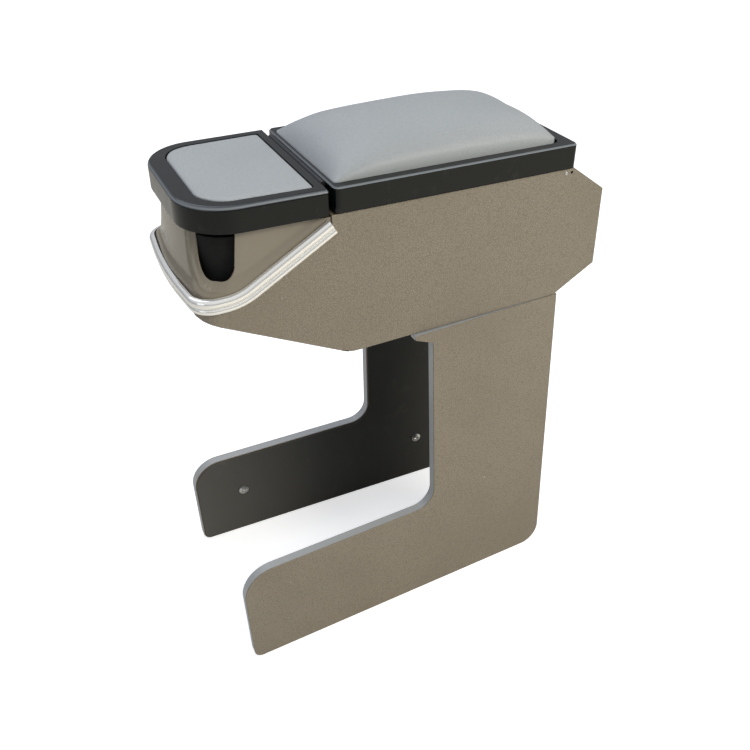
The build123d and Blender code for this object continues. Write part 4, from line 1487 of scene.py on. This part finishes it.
@dataclass
class Studio:
    """Pale floor, soft light and the camera at the photograph's viewing angle."""

    camera_mm: tuple[float, float, float] = (-276.7, -603.27, 689.80)
    azimuth: float = 24.357
    pitch: float = 35.586
    roll: float = -1.973
    focal_px: float = 853.777
    frame_px: float = 750.0
    sensor_mm: float = 36.0
    near_m: float = 0.01
    middle_m: tuple[float, float, float] = (0, 0, 0.3)
    lamps: tuple[Lamp, ...] = (
        Lamp("window", (0.72, -1.2, 1.25), 0.6, 16.5, "#FFFAF0"),
        Lamp("sky", (-0.25, 0.9, 1.8), 1.2, 10.8, "#E6EEFF"),
        Lamp("fill", (-1.6, -0.7, 0.8), 0.8, 1.7, "#EEF4FF"),
    )
    room_low: str = "#5E6165"
    room_high: str = "#F6F9FF"
    room_span: Span = (-0.05, 0.55)
    room_strength: float = 0.68
    floor_reach: float = 6000.0
    floor_colour: str = "#E9E9E9"
    floor_mirrored: str = "#E2DCCE"
    floor_glow: float = 0.55

    def camera(self) -> None:
        """Places the camera: it looks along the azimuth and down by the pitch, then rolls."""
        azimuth, pitch, roll = np.radians([self.azimuth, self.pitch, self.roll])
        level = np.array([np.sin(azimuth), np.cos(azimuth), 0])
        forward = level * np.cos(pitch) - np.array([0, 0, np.sin(pitch)])
        right = np.array([np.cos(azimuth), -np.sin(azimuth), 0])
        up = np.cross(right, forward)
        rolled_right = np.cos(roll) * right + np.sin(roll) * up
        rolled_up = np.cos(roll) * up - np.sin(roll) * right
        pose = np.eye(4)
        pose[:3, :3] = np.stack([rolled_right, rolled_up, -forward], axis=1)
        pose[:3, 3] = np.array(self.camera_mm) * MM
        data = bpy.data.cameras.new("camera")
        data.sensor_width = self.sensor_mm
        data.lens = self.focal_px * self.sensor_mm / self.frame_px
        data.clip_start = self.near_m
        camera = in_scene("camera", data)
        camera.matrix_world = Matrix(pose.tolist())
        bpy.context.scene.camera = camera

    def light(self) -> None:
        """Window light from the right, sky light from above, a weak fill and a pale room.

        The room is dusky below and pale above, and white where the camera sees it.
        """
        for lamp in self.lamps:
            lamp.hang(self.middle_m)
        world = bpy.data.worlds.new("studio")
        bpy.context.scene.world = world
        world.use_nodes = True
        tree = world.node_tree
        tree.nodes.clear()
        seen = add_node(tree, "ShaderNodeLightPath").outputs["Is Camera Ray"]
        looking = add_node(tree, "ShaderNodeTexCoord").outputs["Generated"]
        height = add_node(tree, "ShaderNodeSeparateXYZ", {"Vector": looking}).outputs["Z"]
        room = coated(tree, self.room_low, [Coat(self.room_high, height, self.room_span)])
        soft = add_node(tree, "ShaderNodeBackground", (room, self.room_strength))
        white = add_node(tree, "ShaderNodeBackground", (linear("#FFFFFF"), 1.0))
        shown = (seen, soft.outputs[0], white.outputs[0])
        mix = add_node(tree, "ShaderNodeMixShader", shown)
        add_node(tree, "ShaderNodeOutputWorld", {"Surface": mix.outputs[0]})

    def floor(self) -> None:
        """Wide pale floor that stays white to the camera and keeps a soft shadow."""
        corners = self.floor_reach * np.array([[-1, -1, 0], [1, -1, 0], [1, 1, 0], [-1, 1, 0]])
        piece = make_piece("floor", corners, [range(4)])
        material, tree = blank_material("pale floor")
        path = add_node(tree, "ShaderNodeLightPath").outputs
        shade = coated(tree, self.floor_colour, [Coat(self.floor_mirrored, path["Is Glossy Ray"])])
        paint = add_node(tree, "ShaderNodeBsdfDiffuse", {"Color": shade}).outputs[0]
        glow = add_node(tree, "ShaderNodeEmission", (linear("#FFFFFF"), self.floor_glow)).outputs[0]
        both = add_node(tree, "ShaderNodeAddShader", (paint, glow)).outputs[0]
        mix = add_node(tree, "ShaderNodeMixShader", (path["Is Camera Ray"], paint, both))
        add_node(tree, "ShaderNodeOutputMaterial", {"Surface": mix.outputs[0]})
        piece.data.materials.append(material)


def main() -> None:
    """Builds the studio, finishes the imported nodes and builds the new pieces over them."""
    logging.basicConfig(level=logging.INFO, format="%(name)s: %(message)s")
    bpy.context.scene.view_settings.view_transform = "Standard"
    studio = Studio()
    studio.camera()
    studio.light()
    studio.floor()
    layout = Layout()
    palette = Palette()
    for part in frame["record"]["subparts"]:
        palette.dress_node(part["node"], part["material_slot"])
    NoseShell(layout, palette).build()
    TrimStrip(layout, palette).build()
    lids = Lids(layout, palette)
    lids.build_frames()
    BoxAndLegs(palette).build()
    lids.build_pads()


if __name__ == "__main__":
    main()
